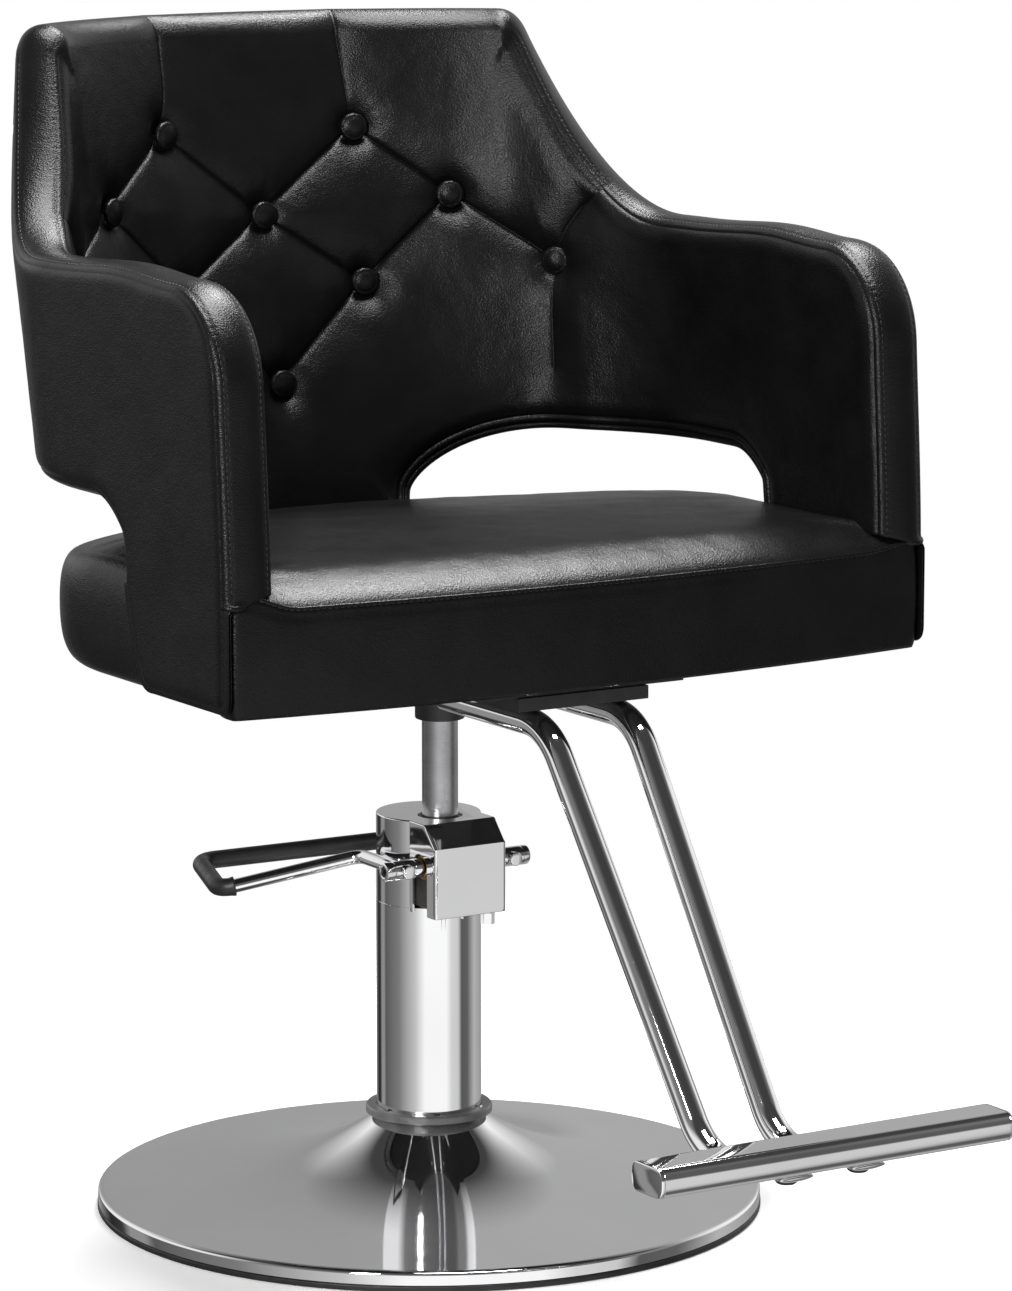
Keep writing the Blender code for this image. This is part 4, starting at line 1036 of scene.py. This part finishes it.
def seat_top(flat, gap, front, inset):
    """Height of the cushion's top: it rolls up from its edge, dips at the front seam, and falls
    towards the back."""
    rise = SEAT_CROWN * (1 - np.exp(-((gap + inset) / 0.0210) ** 1.1))
    seam = front * 0.0012 * np.exp(-gap / 0.0025)
    corner = (0.0090 - 0.0040 * np.sign(flat[:, 0])) * front * smoothstep(0.262, 0.312, np.abs(flat[:, 0]))
    corner *= np.exp(-gap / 0.030)
    fall = SEAT_REAR_FALL * smoothstep(-0.06, 0.20, flat[:, 1])
    return SEAT_EDGE_TOP - 0.0015 + rise - seam + corner - fall


def seat_sides(top_line, outward):
    """Rows of points down the cushion's sides: flat below the front seam, one round roll elsewhere."""
    round_share, wide = top_line[:, 2], top_line[:, 3]
    top = seat_top(top_line[:, :2], np.zeros(len(top_line)), 1.0 - round_share, wide)
    bottom = SEAT_BOTTOM + 0.0005
    length = np.arange(len(top_line)) * SEAT_EDGE_STEP
    puckers = 1 + 0.4 * np.cos(2 * math.pi * length / STITCH_PITCH)
    rows = []
    for s in np.concatenate(([0.0, 0.012, 0.03, 0.055, 0.085, 0.12], np.linspace(0.16, 0.90, 22),
                             [0.94, 0.97, 1.0])):
        angle = math.pi / 2 - math.pi * s
        middle, half = (top + bottom) / 2, (top - bottom) / 2
        flat_z = top + (bottom - top) * s
        round_z = middle + half * math.copysign(abs(math.sin(angle)) ** 0.80, math.sin(angle))
        flat_rise = wide * (1.15 * math.sin(math.pi * min(1.0, s * 1.02)) ** 0.35)
        round_rise = wide * max(0.0, math.cos(angle)) ** 0.62
        seam = 0.0008 * math.exp(-((s - 0.075) / 0.016) ** 2) * puckers
        rise = flat_rise + (round_rise - flat_rise) * round_share - seam * (1 - round_share)
        z = flat_z + (round_z - flat_z) * round_share
        rows.append(np.column_stack((top_line[:, :2] + outward[:, :2] * rise[:, None], z)))
    return np.array(rows)


def make_seat_cushion():
    edge = seat_edge()
    back = smoothstep(SEAT_FRONT + 0.012, SEAT_FRONT + 0.080, edge[:, 1])
    inset = 0.0030 + 0.0200 * back
    top_line = np.column_stack((edge - outward_of(edge) * inset[:, None], back, inset))
    top_line = resample(top_line, SEAT_EDGE_STEP)
    around = len(top_line)
    rings = ((0.0015, 1), (0.0032, 2), (0.0058, 3), (0.0090, 4))
    flat, triangles, gap, index = patch(top_line, 0.0055, rings)
    top = np.column_stack((flat, seat_top(flat, gap, 1.0 - top_line[index, 2], top_line[index, 3])))
    up = np.array([0.0, 0.0, 1.0]) * smoothstep(0.0, 0.02, gap)[:, None]
    top = wrinkled(top, up, 0.0009, 21, (11.0, 45.0))
    outward = np.column_stack((outward_of(top_line), np.zeros(around)))
    sides = seat_sides(top_line, outward)
    rows = len(sides)
    side_points = wrinkled(sides.reshape(-1, 3), np.tile(outward, (rows, 1)), 0.0005, 31, (14.0, 55.0))
    faces = grid_faces(rows, around, closed=True)
    faces.append(tuple(range((rows - 1) * around, rows * around)))
    cushion = leather_piece("seat_cushion_cover", joined([(top, triangles), (side_points, faces)]),
                            ("seat_cushion",), welded=True)
    settle(cushion)
    sew_seat(top_line, outward, sides)


def sew_seat(top_line, outward, sides):
    """A welt and a row of stitches along the cushion's front seam."""
    order = np.roll(np.arange(len(top_line)), -int(np.argmax(top_line[:, 1])))
    front = [n for n in order if top_line[n, 2] < 0.45]
    out = outward[front]
    welt = sides[0][front] + out * 0.0004 + np.array([0.0, 0.0, 0.0002])
    leather_piece("seat_front_welt", sweep(cord(welt[::4], WELT_RADIUS), around=10))
    stitches("seat_front_stitches", [(sides[1][front], out)])


def make_dust_cloth():
    """The black cloth stapled under the seat, its edge folded back inside the cushion's lower roll."""
    edge = seat_edge()
    line = resample(edge - outward_of(edge) * 0.0265, 0.0040)
    flat, triangles, gap, _ = patch(line, 0.0090, ((0.0030, 1), (0.0060, 2)))
    hem = 0.0006 * np.exp(-((gap - 0.002) / 0.002) ** 2)
    sag = ripple(np.column_stack((flat, np.zeros(len(flat)))), 16.0, 5) * 0.00018
    points = np.column_stack((flat, SEAT_BOTTOM - 0.00035 - hem * 0.5 + sag))
    shape = (points, [f[::-1] for f in triangles])
    piece("seat_dust_cloth", shape, "black_paint", "seat", ("seat_dust_cover",), "dust_cloth")


def evaluated(obj):
    """A new mesh of an object with its modifiers applied."""
    return bpy.data.meshes.new_from_object(obj.evaluated_get(bpy.context.evaluated_depsgraph_get()))


def remeshed(obj):
    """A closed copy of an object with even faces, for the simulation."""
    copy = add_object("settling", obj.data.copy())
    remesh = copy.modifiers.new("remesh", "REMESH")
    remesh.mode = "VOXEL"
    remesh.voxel_size = 0.0055
    bpy.context.view_layer.update()
    solid = evaluated(copy)
    copy.modifiers.clear()
    copy.data = solid
    return copy


def inflate(copy):
    """Runs the cloth simulation on a copy whose lower sides are held."""
    held = copy.vertex_groups.new(name="held")
    for v in copy.data.vertices:
        low = 1.0 - float(smoothstep(0.480, 0.530, v.co.z))
        if low > 0:
            held.add([v.index], low, "REPLACE")
    cloth = copy.modifiers.new("cloth", "CLOTH")
    settings = cloth.settings
    settings.quality = 5
    settings.mass = 0.3
    settings.tension_stiffness = 15.0
    settings.compression_stiffness = 5.0
    settings.bending_stiffness = 0.5
    settings.vertex_group_mass = "held"
    settings.use_pressure = True
    settings.uniform_pressure_force = 4.0
    settings.effector_weights.gravity = 0.0
    cloth.point_cache.frame_start = 1
    cloth.point_cache.frame_end = 20
    for number in range(1, 21):
        bpy.context.scene.frame_set(number)


def settle(obj):
    """Swells the cover a little under inner pressure by cloth simulation, and keeps the result."""
    copy = remeshed(obj)
    start = np.array([v.co[:] for v in copy.data.vertices])
    inflate(copy)
    shift = np.array([v.co[:] for v in evaluated(copy).vertices]) - start
    size = np.linalg.norm(shift, axis=1)
    shift *= (SWELL_CAP * np.tanh(size / SWELL_CAP) / np.maximum(size, 1e-9))[:, None]
    tree = kdtree.KDTree(len(start))
    for n, p in enumerate(start):
        tree.insert(p, n)
    tree.balance()
    for v in obj.data.vertices:
        share = float(smoothstep(SEAT_EDGE_TOP + 0.001, SEAT_EDGE_TOP + 0.020, v.co.z))
        if share > 0:
            found = tree.find_n(v.co, 8)
            weights = np.array([1.0 / (f[2] + 0.002) for f in found])
            pull = (shift[[f[1] for f in found]] * weights[:, None]).sum(axis=0) / weights.sum()
            v.co += Vector(pull) * share
    bpy.data.objects.remove(copy, do_unlink=True)
    bpy.context.scene.frame_set(1)


# ---------------------------------------------------------------- metal

RAM_Y = -0.0187
RAM_RADIUS = 0.0148
BASE_RADIUS = 0.2750
COLUMN_RADIUS = 0.0434
COLUMN_WALL = 0.0020
SHAFT_Y = -0.0426
SHAFT_Z = 0.2933
SHAFT_RADIUS = 0.0080
SHAFT_END = 0.0684
HEAD_TOP = 0.3297
HEAD_BOTTOM = 0.2540
HEAD_SLOPE_FROM = 0.3119
HEAD_FRONT = -0.0671
HEAD_WALL = 0.0016
HEAD_EDGE = 0.0011
HEAD_RAM_HOLE = 0.0185
PEDAL_ROD_RADIUS = 0.0057
PEDAL_SLEEVE_RADIUS = 0.0074
TUBE_RADIUS = 0.0110
LEG_SPREAD = 0.0325
BAR_HALF_LENGTH = 0.1590
BAR_BACK = -0.5517
BAR_FRONT = -0.5929
BAR_BOTTOM = 0.1602
BAR_TOP = 0.1832
HANDS = ((-1, "left"), (1, "right"))


def trumpet_height(radius):
    reach = (BASE_RADIUS - radius) / (BASE_RADIUS - COLUMN_RADIUS)
    return 0.0160 + 0.0602 * (0.45 * reach + 0.55 * reach ** 4)


def make_base():
    inner = COLUMN_RADIUS + 0.0003
    top = [(r, trumpet_height(r)) for r in np.linspace(inner, 0.2718, 90)]
    lip = arc((0.2722, 0.0132), 0.0028, 78, 0, 9)
    lip += [(0.2750, 0.0090), (0.2750, 0.0056), (0.2747, 0.0051), (0.2741, 0.0050), (0.2735, 0.0054),
            (0.2735, 0.0120)]
    under = [(r, trumpet_height(r) - 0.0015) for r in np.linspace(0.2720, inner, 60)]
    turned("trumpet_base", top + lip + under, "chrome", "base", "base_cover", around=288)
    ring = [(0.2625, 0.0)] + arc((0.2746, 0.0010), 0.0010, -90, 0, 5)
    ring += arc((0.2746, 0.0037), 0.0010, 0, 90, 5) + [(0.2625, 0.0047)]
    turned("base_floor_edge", ring, "black_rubber", "base", "base_edge_ring", around=240)
    bore = COLUMN_RADIUS - COLUMN_WALL
    tube = [(COLUMN_RADIUS, 0.0093), (COLUMN_RADIUS, 0.2568), (COLUMN_RADIUS - 0.0004, 0.2572),
            (bore + 0.0003, 0.2572), (bore, 0.2569), (bore, 0.0093)]
    turned("column", tube, "chrome", "base", "column_tube", around=240)


def make_clamp_ring():
    """The dark ring at the column's foot, with six spanner notches in its inner top edge."""
    low, high, inner, outer, chamfer = 0.0765, 0.0833, 0.0437, 0.0524, 0.0012
    around = 288
    profile = [(inner, low), (inner, high), (0.0466, high), (0.0468, high), (outer - chamfer, high),
               (outer - 0.0003, high - 0.0010), (outer, high - chamfer - 0.0003), (outer, low + 0.0006),
               (outer - 0.0006, low)]
    points = []
    for row, (radius, z) in enumerate(profile):
        for angle in round_angles(around):
            turn = (math.degrees(angle) + 22.0) % 60.0 - 30.0
            notch = 0.0026 * float(1 - smoothstep(3.2, 4.2, abs(turn))) if row in (1, 2) else 0.0
            points.append((radius * math.cos(angle), radius * math.sin(angle), z - notch))
    shape = (points, ring_faces(len(profile), around, "joined"))
    piece("column_foot_ring", shape, "grey_plastic", "base", ("column_clamp_ring",), "dark_plating",
          30.0, welded=True)


def head_rows(shrink, levels):
    """Outlines of the pump head's cover as rings of points round the ram's axis.

    Each is a circle joined to a box in front of it, whose front slopes back near the top.
    """
    box_power = 46.0
    rows = []
    for z, extra in levels:
        cut = shrink + extra
        front = HEAD_FRONT + cut
        if z > HEAD_SLOPE_FROM:
            front = max(front, HEAD_FRONT + (z - HEAD_SLOPE_FROM) / 0.0178 * 0.0169 + cut)
        row = []
        for angle in round_angles(480):
            dx, dy = math.sin(angle), -math.cos(angle)
            radius = 0.0432 - cut
            half = RAM_Y * dy
            to_circle = -half + math.sqrt(half * half - (RAM_Y * RAM_Y - radius * radius))
            to_side = (0.0339 - cut) / max(abs(dx), 1e-9)
            to_front = (front - RAM_Y) / min(dy, -1e-9) if dy < 0 else 0.019 / max(dy, 1e-9)
            to_box = (to_side ** -box_power + to_front ** -box_power) ** (-1 / box_power)
            reach = max(to_circle, to_box)
            row.append((dx * reach, RAM_Y + dy * reach, z))
        rows.append(row)
    return rows


def make_head_cover():
    low, slope, shoulder = HEAD_BOTTOM, HEAD_SLOPE_FROM, HEAD_TOP - HEAD_EDGE
    levels = [(low, 0.0002), (low + 0.0004, 0.0)] + [(z, 0.0) for z in np.linspace(low + 0.004, 0.3108, 12)]
    levels += [(slope, 0.0)] + [(z, 0.0) for z in np.linspace(0.3130, shoulder - 0.0002, 12)]
    levels += [(shoulder + HEAD_EDGE * math.sin(a), HEAD_EDGE * (1 - math.cos(a)))
               for a in np.linspace(0.05, math.pi / 2, 7)]
    rows = head_rows(0.0, levels)
    around = len(rows[0])
    for z in (HEAD_TOP, HEAD_TOP - HEAD_WALL):
        rows.append([(HEAD_RAM_HOLE * math.sin(angle), RAM_Y - HEAD_RAM_HOLE * math.cos(angle), z)
                     for angle in round_angles(around)])
    rows += head_rows(HEAD_WALL, [(HEAD_TOP - HEAD_WALL, 0.0), (slope, 0.0), (low, 0.0)])
    shape = ([p for row in rows for p in row], ring_faces(len(rows), around, "joined"))
    cover = piece("pump_head_shell", shape, "chrome", "base", ("pump_head_cover",), welded=True)
    cutter = slot_cutter()
    cut = cover.modifiers.new("slots", "BOOLEAN")
    cut.operation = "DIFFERENCE"
    cut.solver = "EXACT"
    cut.object = cutter
    bpy.context.view_layer.update()
    mesh = evaluated(cover)
    cover.modifiers.clear()
    cover.data = mesh
    bpy.data.objects.remove(cutter, do_unlink=True)
    weld(mesh)
    shade(mesh, 32.0)


def slot_cutter():
    """A bar through both sides of the head cover: a slot with a round top for the cross shaft."""
    rear, front, foot = -0.0312, -0.0540, 0.2400
    radius = (rear - front) / 2
    top = arc(((rear + front) / 2, 0.3040 - radius + 0.0006), radius, 180, 0, 25)
    outline = [(front, foot)] + top + [(rear, foot)]
    mesh = bpy.data.meshes.new("slot_cutter")
    points = [(x, y, z) for x in (-0.06, 0.06) for y, z in outline]
    mesh.from_pydata(points, [], ring_faces(2, len(outline), "capped"))
    weld(mesh)
    return add_object("slot_cutter", mesh)


def along_x(name, profile, finish, node, around):
    """A closed body round the cross shaft's axis: rows of x, radius and share of a hexagon."""
    points = []
    for x, radius, hexagon in profile:
        for angle in round_angles(around):
            turn = (angle + math.pi / 6) % (math.pi / 3) - math.pi / 6
            size = radius * (1 + hexagon * (0.93 / math.cos(turn) - 1))
            points.append((x, SHAFT_Y + size * math.cos(angle), SHAFT_Z + size * math.sin(angle)))
    shape = (points, ring_faces(len(profile), around, "capped"))
    piece(name, shape, finish, "pedal", (node,), sharp=30.0, welded=True)


def make_cross_shaft():
    """The chromed shaft, with two grooves and a grub screw at each end."""
    r, end = SHAFT_RADIUS, SHAFT_END
    half = [(end - 0.0050, 0.0042), (end - 0.0006, 0.0044), (end, 0.0052), (end, r - 0.0016),
            (end - 0.0003, r - 0.0009), (end - 0.0012, r - 0.0001), (end - 0.0018, r)]
    for groove in (0.0610, 0.0418):
        half += [(groove + 0.0008, r), (groove + 0.0005, r - 0.0006), (groove - 0.0005, r - 0.0006),
                 (groove - 0.0008, r)]
    profile = [(x, radius, 0.0) for x, radius in half] + [(-x, radius, 0.0) for x, radius in half[::-1]]
    along_x("pedal_cross_shaft", profile, "chrome", "cross_shaft", 72)
    for side, hand in HANDS:
        face = end - 0.0016
        screw = [(end - 0.0050, 0.0038, 0.0), (face, 0.0040, 0.0), (face + 0.0003, 0.0036, 0.0),
                 (face + 0.0003, 0.0023, 1.0), (face - 0.0022, 0.0023, 1.0)]
        along_x(f"pedal_grub_screw_{hand}", [(side * x, radius, hexagon) for x, radius, hexagon in screw],
                "black_paint", f"set_screw_{hand}", 48)


def make_pedal():
    """The bent rod, and where its rubber grip runs along it."""
    corners = [(-0.0510, -0.0548, 0.2933), (-0.0510, 0.0240, 0.2933), (-0.1640, 0.0590, 0.2712),
               (-0.1385, 0.1410, 0.2772), (0.0510, 0.0790, 0.2903), (0.0510, -0.0548, 0.2933)]
    path = rounded_path(corners, 0.0130)
    rod = round_tip(round_tip(cord(path, PEDAL_ROD_RADIUS), True, 0.0010), False, 0.0010)
    piece("pedal_loop", sweep(rod, around=36), "chrome", "pedal", ("pedal_rod",), sharp=40.0, welded=True)

    far_end, far_turn = Vector(corners[3]), Vector(corners[4])
    start = next(k for k, p in enumerate(path) if p.x < -0.145)
    covered = [p for p in path[start + 1:] if p.x < far_end.x + 0.018]
    last = far_end.lerp(far_turn, 0.80)
    covered += [covered[-1].lerp(last, k / 24) for k in range(1, 25)]
    make_grip(covered)


def make_grip(path):
    """The rubber grip: a sleeve with a rolled lip at both ends."""
    length = lengths_along(np.array(path))
    lips = 0.0007 * (np.exp(-(length / 0.0022) ** 2) + np.exp(-((length[-1] - length) / 0.0022) ** 2))
    sections = [(p, radius, radius, None) for p, radius in zip(path, (PEDAL_SLEEVE_RADIUS + lips).tolist())]
    sections = round_tip(round_tip(sections, True, 0.0008, 3), False, 0.0008, 3)
    piece("pedal_grip", sweep(sections, around=40), "black_rubber", "pedal", ("pedal_sleeve",),
          sharp=50.0, welded=True)


def make_lift():
    edge = 0.0008
    ram = [(0.0, 0.1153), (RAM_RADIUS - edge, 0.1153), (RAM_RADIUS, 0.1160), (RAM_RADIUS, 0.4612),
           (RAM_RADIUS - edge, 0.4620), (0.0, 0.4620)]
    turned("lift_ram", ram, "satin_steel", "lift", "ram", (0.0, RAM_Y), 120)
    bore = RAM_RADIUS + 0.0004
    hub = [(bore, 0.4105), (0.0190, 0.4105), (0.0200, 0.4109), (0.0205, 0.4119), (0.0205, 0.4560),
           (0.0215, 0.4590), (0.0240, 0.4630), (0.0250, 0.4654), (bore, 0.4654)]
    turned("seat_socket", hub, "black_paint", "seat", "seat_hub", (0.0, RAM_Y), 96)


def footrest_leg(side):
    """Sections of a footrest tube: two bends, then a flattened end under the foot bar."""
    across = Vector((1.0, 0.0, 0.0))
    corners = [(side * 0.0400, -0.0950, 0.4436), (side * 0.0400, -0.2486, 0.4436),
               (side * LEG_SPREAD, -0.4610, 0.1478), (side * LEG_SPREAD, -0.5090, 0.1478)]
    sections = cord(rounded_path(corners, 0.0560, 2.5), TUBE_RADIUS, across)
    # the pressed end in rows of y, half height and half width
    pressed = ((-0.5090, 0.0110, 0.0110), (-0.5250, 0.0080, 0.0128), (-0.5400, 0.0042, 0.0148),
               (-0.5500, 0.0030, 0.0155), (-0.5800, 0.0030, 0.0155))
    ys, highs, wides = np.array(pressed).T
    for y in np.linspace(-0.5105, -0.5800, 34):
        high, wide = float(np.interp(-y, -ys, highs)), float(np.interp(-y, -ys, wides))
        sections.append((Vector((side * LEG_SPREAD, y, BAR_BOTTOM - 0.0003 - high)), wide, high, across))
    for _ in range(3):
        for n in range(len(sections) - 36, len(sections) - 1):
            a, b, c = sections[n - 1:n + 2]
            sections[n] = (*(b[k] * 0.5 + (a[k] + c[k]) * 0.25 for k in range(3)), across)
    return round_tip(sections, True, 0.0028, 4)


def make_footrest():
    bolt = [(0.0, 0.1497), (0.0040, 0.1497), (0.0064, 0.1502), (0.0078, 0.1511), (0.0085, 0.1522),
            (0.0085, 0.1535), (0.0, 0.1535)]
    for side, hand in HANDS:
        piece(f"footrest_leg_{hand}", sweep(footrest_leg(side), around=48), "chrome", "seat",
              (f"footrest_tube_{hand}",), sharp=50.0, welded=True)
        turned(f"footrest_bolt_{hand}", bolt, "black_paint", "seat", f"bar_screw_{hand}",
               (side * LEG_SPREAD, -0.5680), 64)


def bar_section(shrink):
    """The foot bar's section: flat on top and below, with round front and back edges."""
    middle = (BAR_TOP + BAR_BOTTOM) / 2
    half = (BAR_TOP - BAR_BOTTOM) / 2 - shrink
    deep = 0.0085
    points = []
    for centre, turn in ((BAR_BACK - deep, 0), (BAR_FRONT + deep, 180)):
        for a in np.linspace(-90, 90, 29):
            angle = math.radians(a + turn)
            c, s = math.cos(angle), math.sin(angle)
            points.append((centre + (deep - shrink) * math.copysign(abs(c) ** 0.85, c),
                           middle + half * math.copysign(abs(s) ** 0.85, s)))
    return points


def bar_part(name, rows, node):
    """A closed body lofted through bar sections at (x, shrink) rows."""
    points = [(x, y, z) for x, shrink in rows for y, z in bar_section(shrink)]
    shape = (points, ring_faces(len(rows), len(points) // len(rows), "capped"))
    piece(name, shape, "chrome", "seat", (node,), sharp=35.0, welded=True)


def make_foot_bar():
    end = BAR_HALF_LENGTH - 0.0033
    rows = [(-end, 0.0003), (-end + 0.0003, 0.0)]
    rows += [(x, 0.0) for x in np.linspace(-end + 0.01, end - 0.01, 9)]
    rows += [(end - 0.0003, 0.0), (end, 0.0003)]
    bar_part("foot_bar", rows, "footrest_bar")
    cap = ((0.0030, 0.0003), (0.0028, 0.0001), (0.0009, 0.0001), (0.0003, 0.0004), (0.0, 0.0011))
    for side, hand in HANDS:
        rows = [(side * (BAR_HALF_LENGTH - back), shrink) for back, shrink in cap]
        bar_part(f"foot_bar_cap_{hand}", rows, f"bar_end_cap_{hand}")


# ---------------------------------------------------------------- what stays from the CAD

CAD_FINISHES = {
    "black_paint": ("base_plate", "seat_plate", "footrest_mount"),
    "machined_steel": ("column_flange", "pump_cylinder", "ram_piston", "cam_finger", "pump_plunger",
                       *(f"plate_bolt_{number}" for number in range(1, 5)),
                       *(f"flange_bolt_{number}" for number in range(1, 4))),
    "cast_iron": ("pump_head_body",),
    "bronze": ("shaft_bush_left", "shaft_bush_right", "ram_guide_bush"),
    "black_rubber": ("ram_wiper_seal", "piston_seal"),
    "chrome": ("release_valve",),
    "plywood": ("seat_board",)}


def dress(node, finish):
    """A CAD node's new material, and a fine bevel on its edges."""
    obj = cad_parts[node]
    for slot in obj.material_slots:
        slot.material = finish
    if not obj.material_slots:
        obj.data.materials.append(finish)
    edge = obj.modifiers.new("edge", "BEVEL")
    edge.width = 0.0005
    edge.segments = 2
    edge.limit_method = "ANGLE"
    edge.angle_limit = math.radians(38)


# ---------------------------------------------------------------- studio

CAMERA_TURN = -0.5541
CAMERA_RISE = 0.1704
CAMERA_DISTANCE = 4.551
CAMERA_RIGHT = 0.0639
CAMERA_HEIGHT = 0.4677
CAMERA_LENS = 155.0
# brightness of the studio's walls once round, from behind the chair over its left side
WALLS = ((0.03, 0.34), (0.10, 0.02), (0.135, 0.04), (0.152, 0.27), (0.182, 0.27), (0.198, 0.10),
         (0.31, 0.20), (0.42, 0.56), (0.48, 1.0), (0.61, 1.0), (0.645, 0.68), (0.69, 0.62),
         (0.715, 0.10), (0.765, 0.12), (0.83, 0.46), (0.93, 0.32))
# the same round above eye level: darker in front of the chair, so that the leather stays black
UPPER = ((0.0, 0.35), (0.04, 0.30), (0.08, 0.85), (0.27, 0.85), (0.33, 0.20), (0.42, 0.16), (0.62, 0.10),
         (0.69, 0.10), (0.72, 0.22), (0.78, 0.22), (0.82, 0.80), (0.92, 0.95), (0.965, 0.40))
UPPER_SHARE = ((0.465, 0.0), (0.52, 1.0))
OVERHEAD = (0.05, 0.05, 0.05, 1.0)
OVERHEAD_SHARE = ((0.76, 0.0), (0.88, 1.0))
STUDIO_STRENGTH = 1.05
WHITE = (1.0, 1.0, 1.0, 1.0)


def make_camera():
    right = Vector((math.cos(CAMERA_TURN), math.sin(CAMERA_TURN), 0.0))
    level = Vector((math.sin(CAMERA_TURN), -math.cos(CAMERA_TURN), 0.0))
    back = level * math.cos(CAMERA_RISE) + Vector((0.0, 0.0, math.sin(CAMERA_RISE)))
    data = bpy.data.cameras.new("camera")
    data.lens = CAMERA_LENS
    data.sensor_width = 36.0
    data.clip_end = 60.0
    camera = add_object("camera", data)
    turn = Matrix((right, back.cross(right), back)).transposed().to_4x4()
    place = right * CAMERA_RIGHT + Vector((0, 0, CAMERA_HEIGHT)) + back * CAMERA_DISTANCE
    camera.matrix_world = Matrix.Translation(place) @ turn
    bpy.context.scene.camera = camera


def make_floor():
    """A pale round floor that fades into the white studio at its edge, and is clear from below."""
    s = Shader("studio_floor", 0.93, 0.62)
    s.colour(s.noise(1.2, 3.0), 0.925, 0.935)
    s.roughness(s.noise(30.0, 3.0), 0.58, 0.66)
    s.bump(s.noise(300.0), 0.00005, 0.2)
    s.inputs["Emission Color"].default_value = WHITE
    s.inputs["Emission Strength"].default_value = 0.22
    from_centre = s.add("VectorMath", {0: s.place}, "Value", operation="LENGTH")
    fade = s.range(from_centre, 0.75, 1.25, 1.0, 0.0)
    below = s.add("NewGeometry", output="Backfacing")
    s.tree.links.new(s.math("MULTIPLY_ADD", below, -1.0, fade), s.inputs["Alpha"])
    around = 96
    points = [(0.0, 0.0, -0.0004)]
    points += [(1.3 * math.cos(a), 1.3 * math.sin(a), -0.0004) for a in round_angles(around)]
    mesh = bpy.data.meshes.new("studio_floor")
    mesh.from_pydata(points, [], [(0, 1 + n, 1 + (n + 1) % around) for n in range(around)])
    mesh.materials.append(s.material)
    floor = add_object("studio_floor", mesh)
    floor.visible_glossy = False
    floor.visible_diffuse = False


def make_world():
    """White behind the chair; around it, a studio of soft walls with darker gaps for the chrome."""
    world = bpy.data.worlds.new("studio")
    bpy.context.scene.world = world
    world.use_nodes = True
    world.node_tree.nodes.clear()
    w = Nodes(world.node_tree)
    ray = w.node("SeparateXYZ", {0: w.add("TexCoord", output="Generated")}).outputs
    turn = w.math("ARCTAN2", ray["X"], w.math("MULTIPLY", ray["Y"], -1.0))
    rounds = w.math("DIVIDE", w.math("SUBTRACT", turn, CAMERA_TURN), 2 * math.pi)
    # 0.5 is towards the camera's side of the studio, and rises to the camera's right
    share = w.math("FRACT", w.math("ADD", rounds, 0.5))
    height = w.math("ADD", w.math("MULTIPLY", ray["Z"], 0.5), 0.5)

    def blend(second_share, first, second):
        inputs = {"Factor": w.ramp(height, second_share), "A": first, "B": second}
        return w.add("Mix", inputs, "Result", data_type="RGBA")

    round_walls = blend(UPPER_SHARE, w.ramp(share, WALLS), w.ramp(share, UPPER))
    studio = w.add("Background", {"Color": blend(OVERHEAD_SHARE, round_walls, OVERHEAD),
                                  "Strength": STUDIO_STRENGTH})
    backdrop = w.add("Background", {"Color": WHITE, "Strength": 1.0})
    seen = w.add("LightPath", output="Is Camera Ray")
    w.node("OutputWorld", {"Surface": w.add("MixShader", {0: seen, 1: studio, 2: backdrop})})


def softbox(name, place, target, wide, high, power):
    data = bpy.data.lights.new(name, "AREA")
    data.shape = "RECTANGLE"
    data.size = wide
    data.size_y = high
    data.energy = power
    light = add_object(name, data)
    light.location = place
    light.rotation_euler = (Vector(place) - Vector(target)).to_track_quat("Z", "Y").to_euler()


def make_lights():
    softbox("overhead", (0.1, 0.0, 3.2), (0.0, 0.0, 0.6), 1.7, 1.2, 150.0)
    softbox("rear_key", (1.4, 1.15, 3.3), (-0.1, -0.1, 0.7), 1.1, 0.8, 90.0)
    softbox("front_left", (-2.5, -1.9, 1.5), (0.0, 0.0, 0.6), 0.45, 1.5, 75.0)


bpy.context.scene.view_settings.view_transform = "Standard"
for make in (make_camera, make_world, make_floor, make_lights, make_shell_covers, make_tuft_buttons,
             make_seat_cushion, make_base, make_clamp_ring, make_head_cover, make_cross_shaft,
             make_pedal, make_lift, make_footrest, make_foot_bar, make_dust_cloth):
    make()
for finish, nodes in CAD_FINISHES.items():
    for node in nodes:
        dress(node, FINISHES[finish])
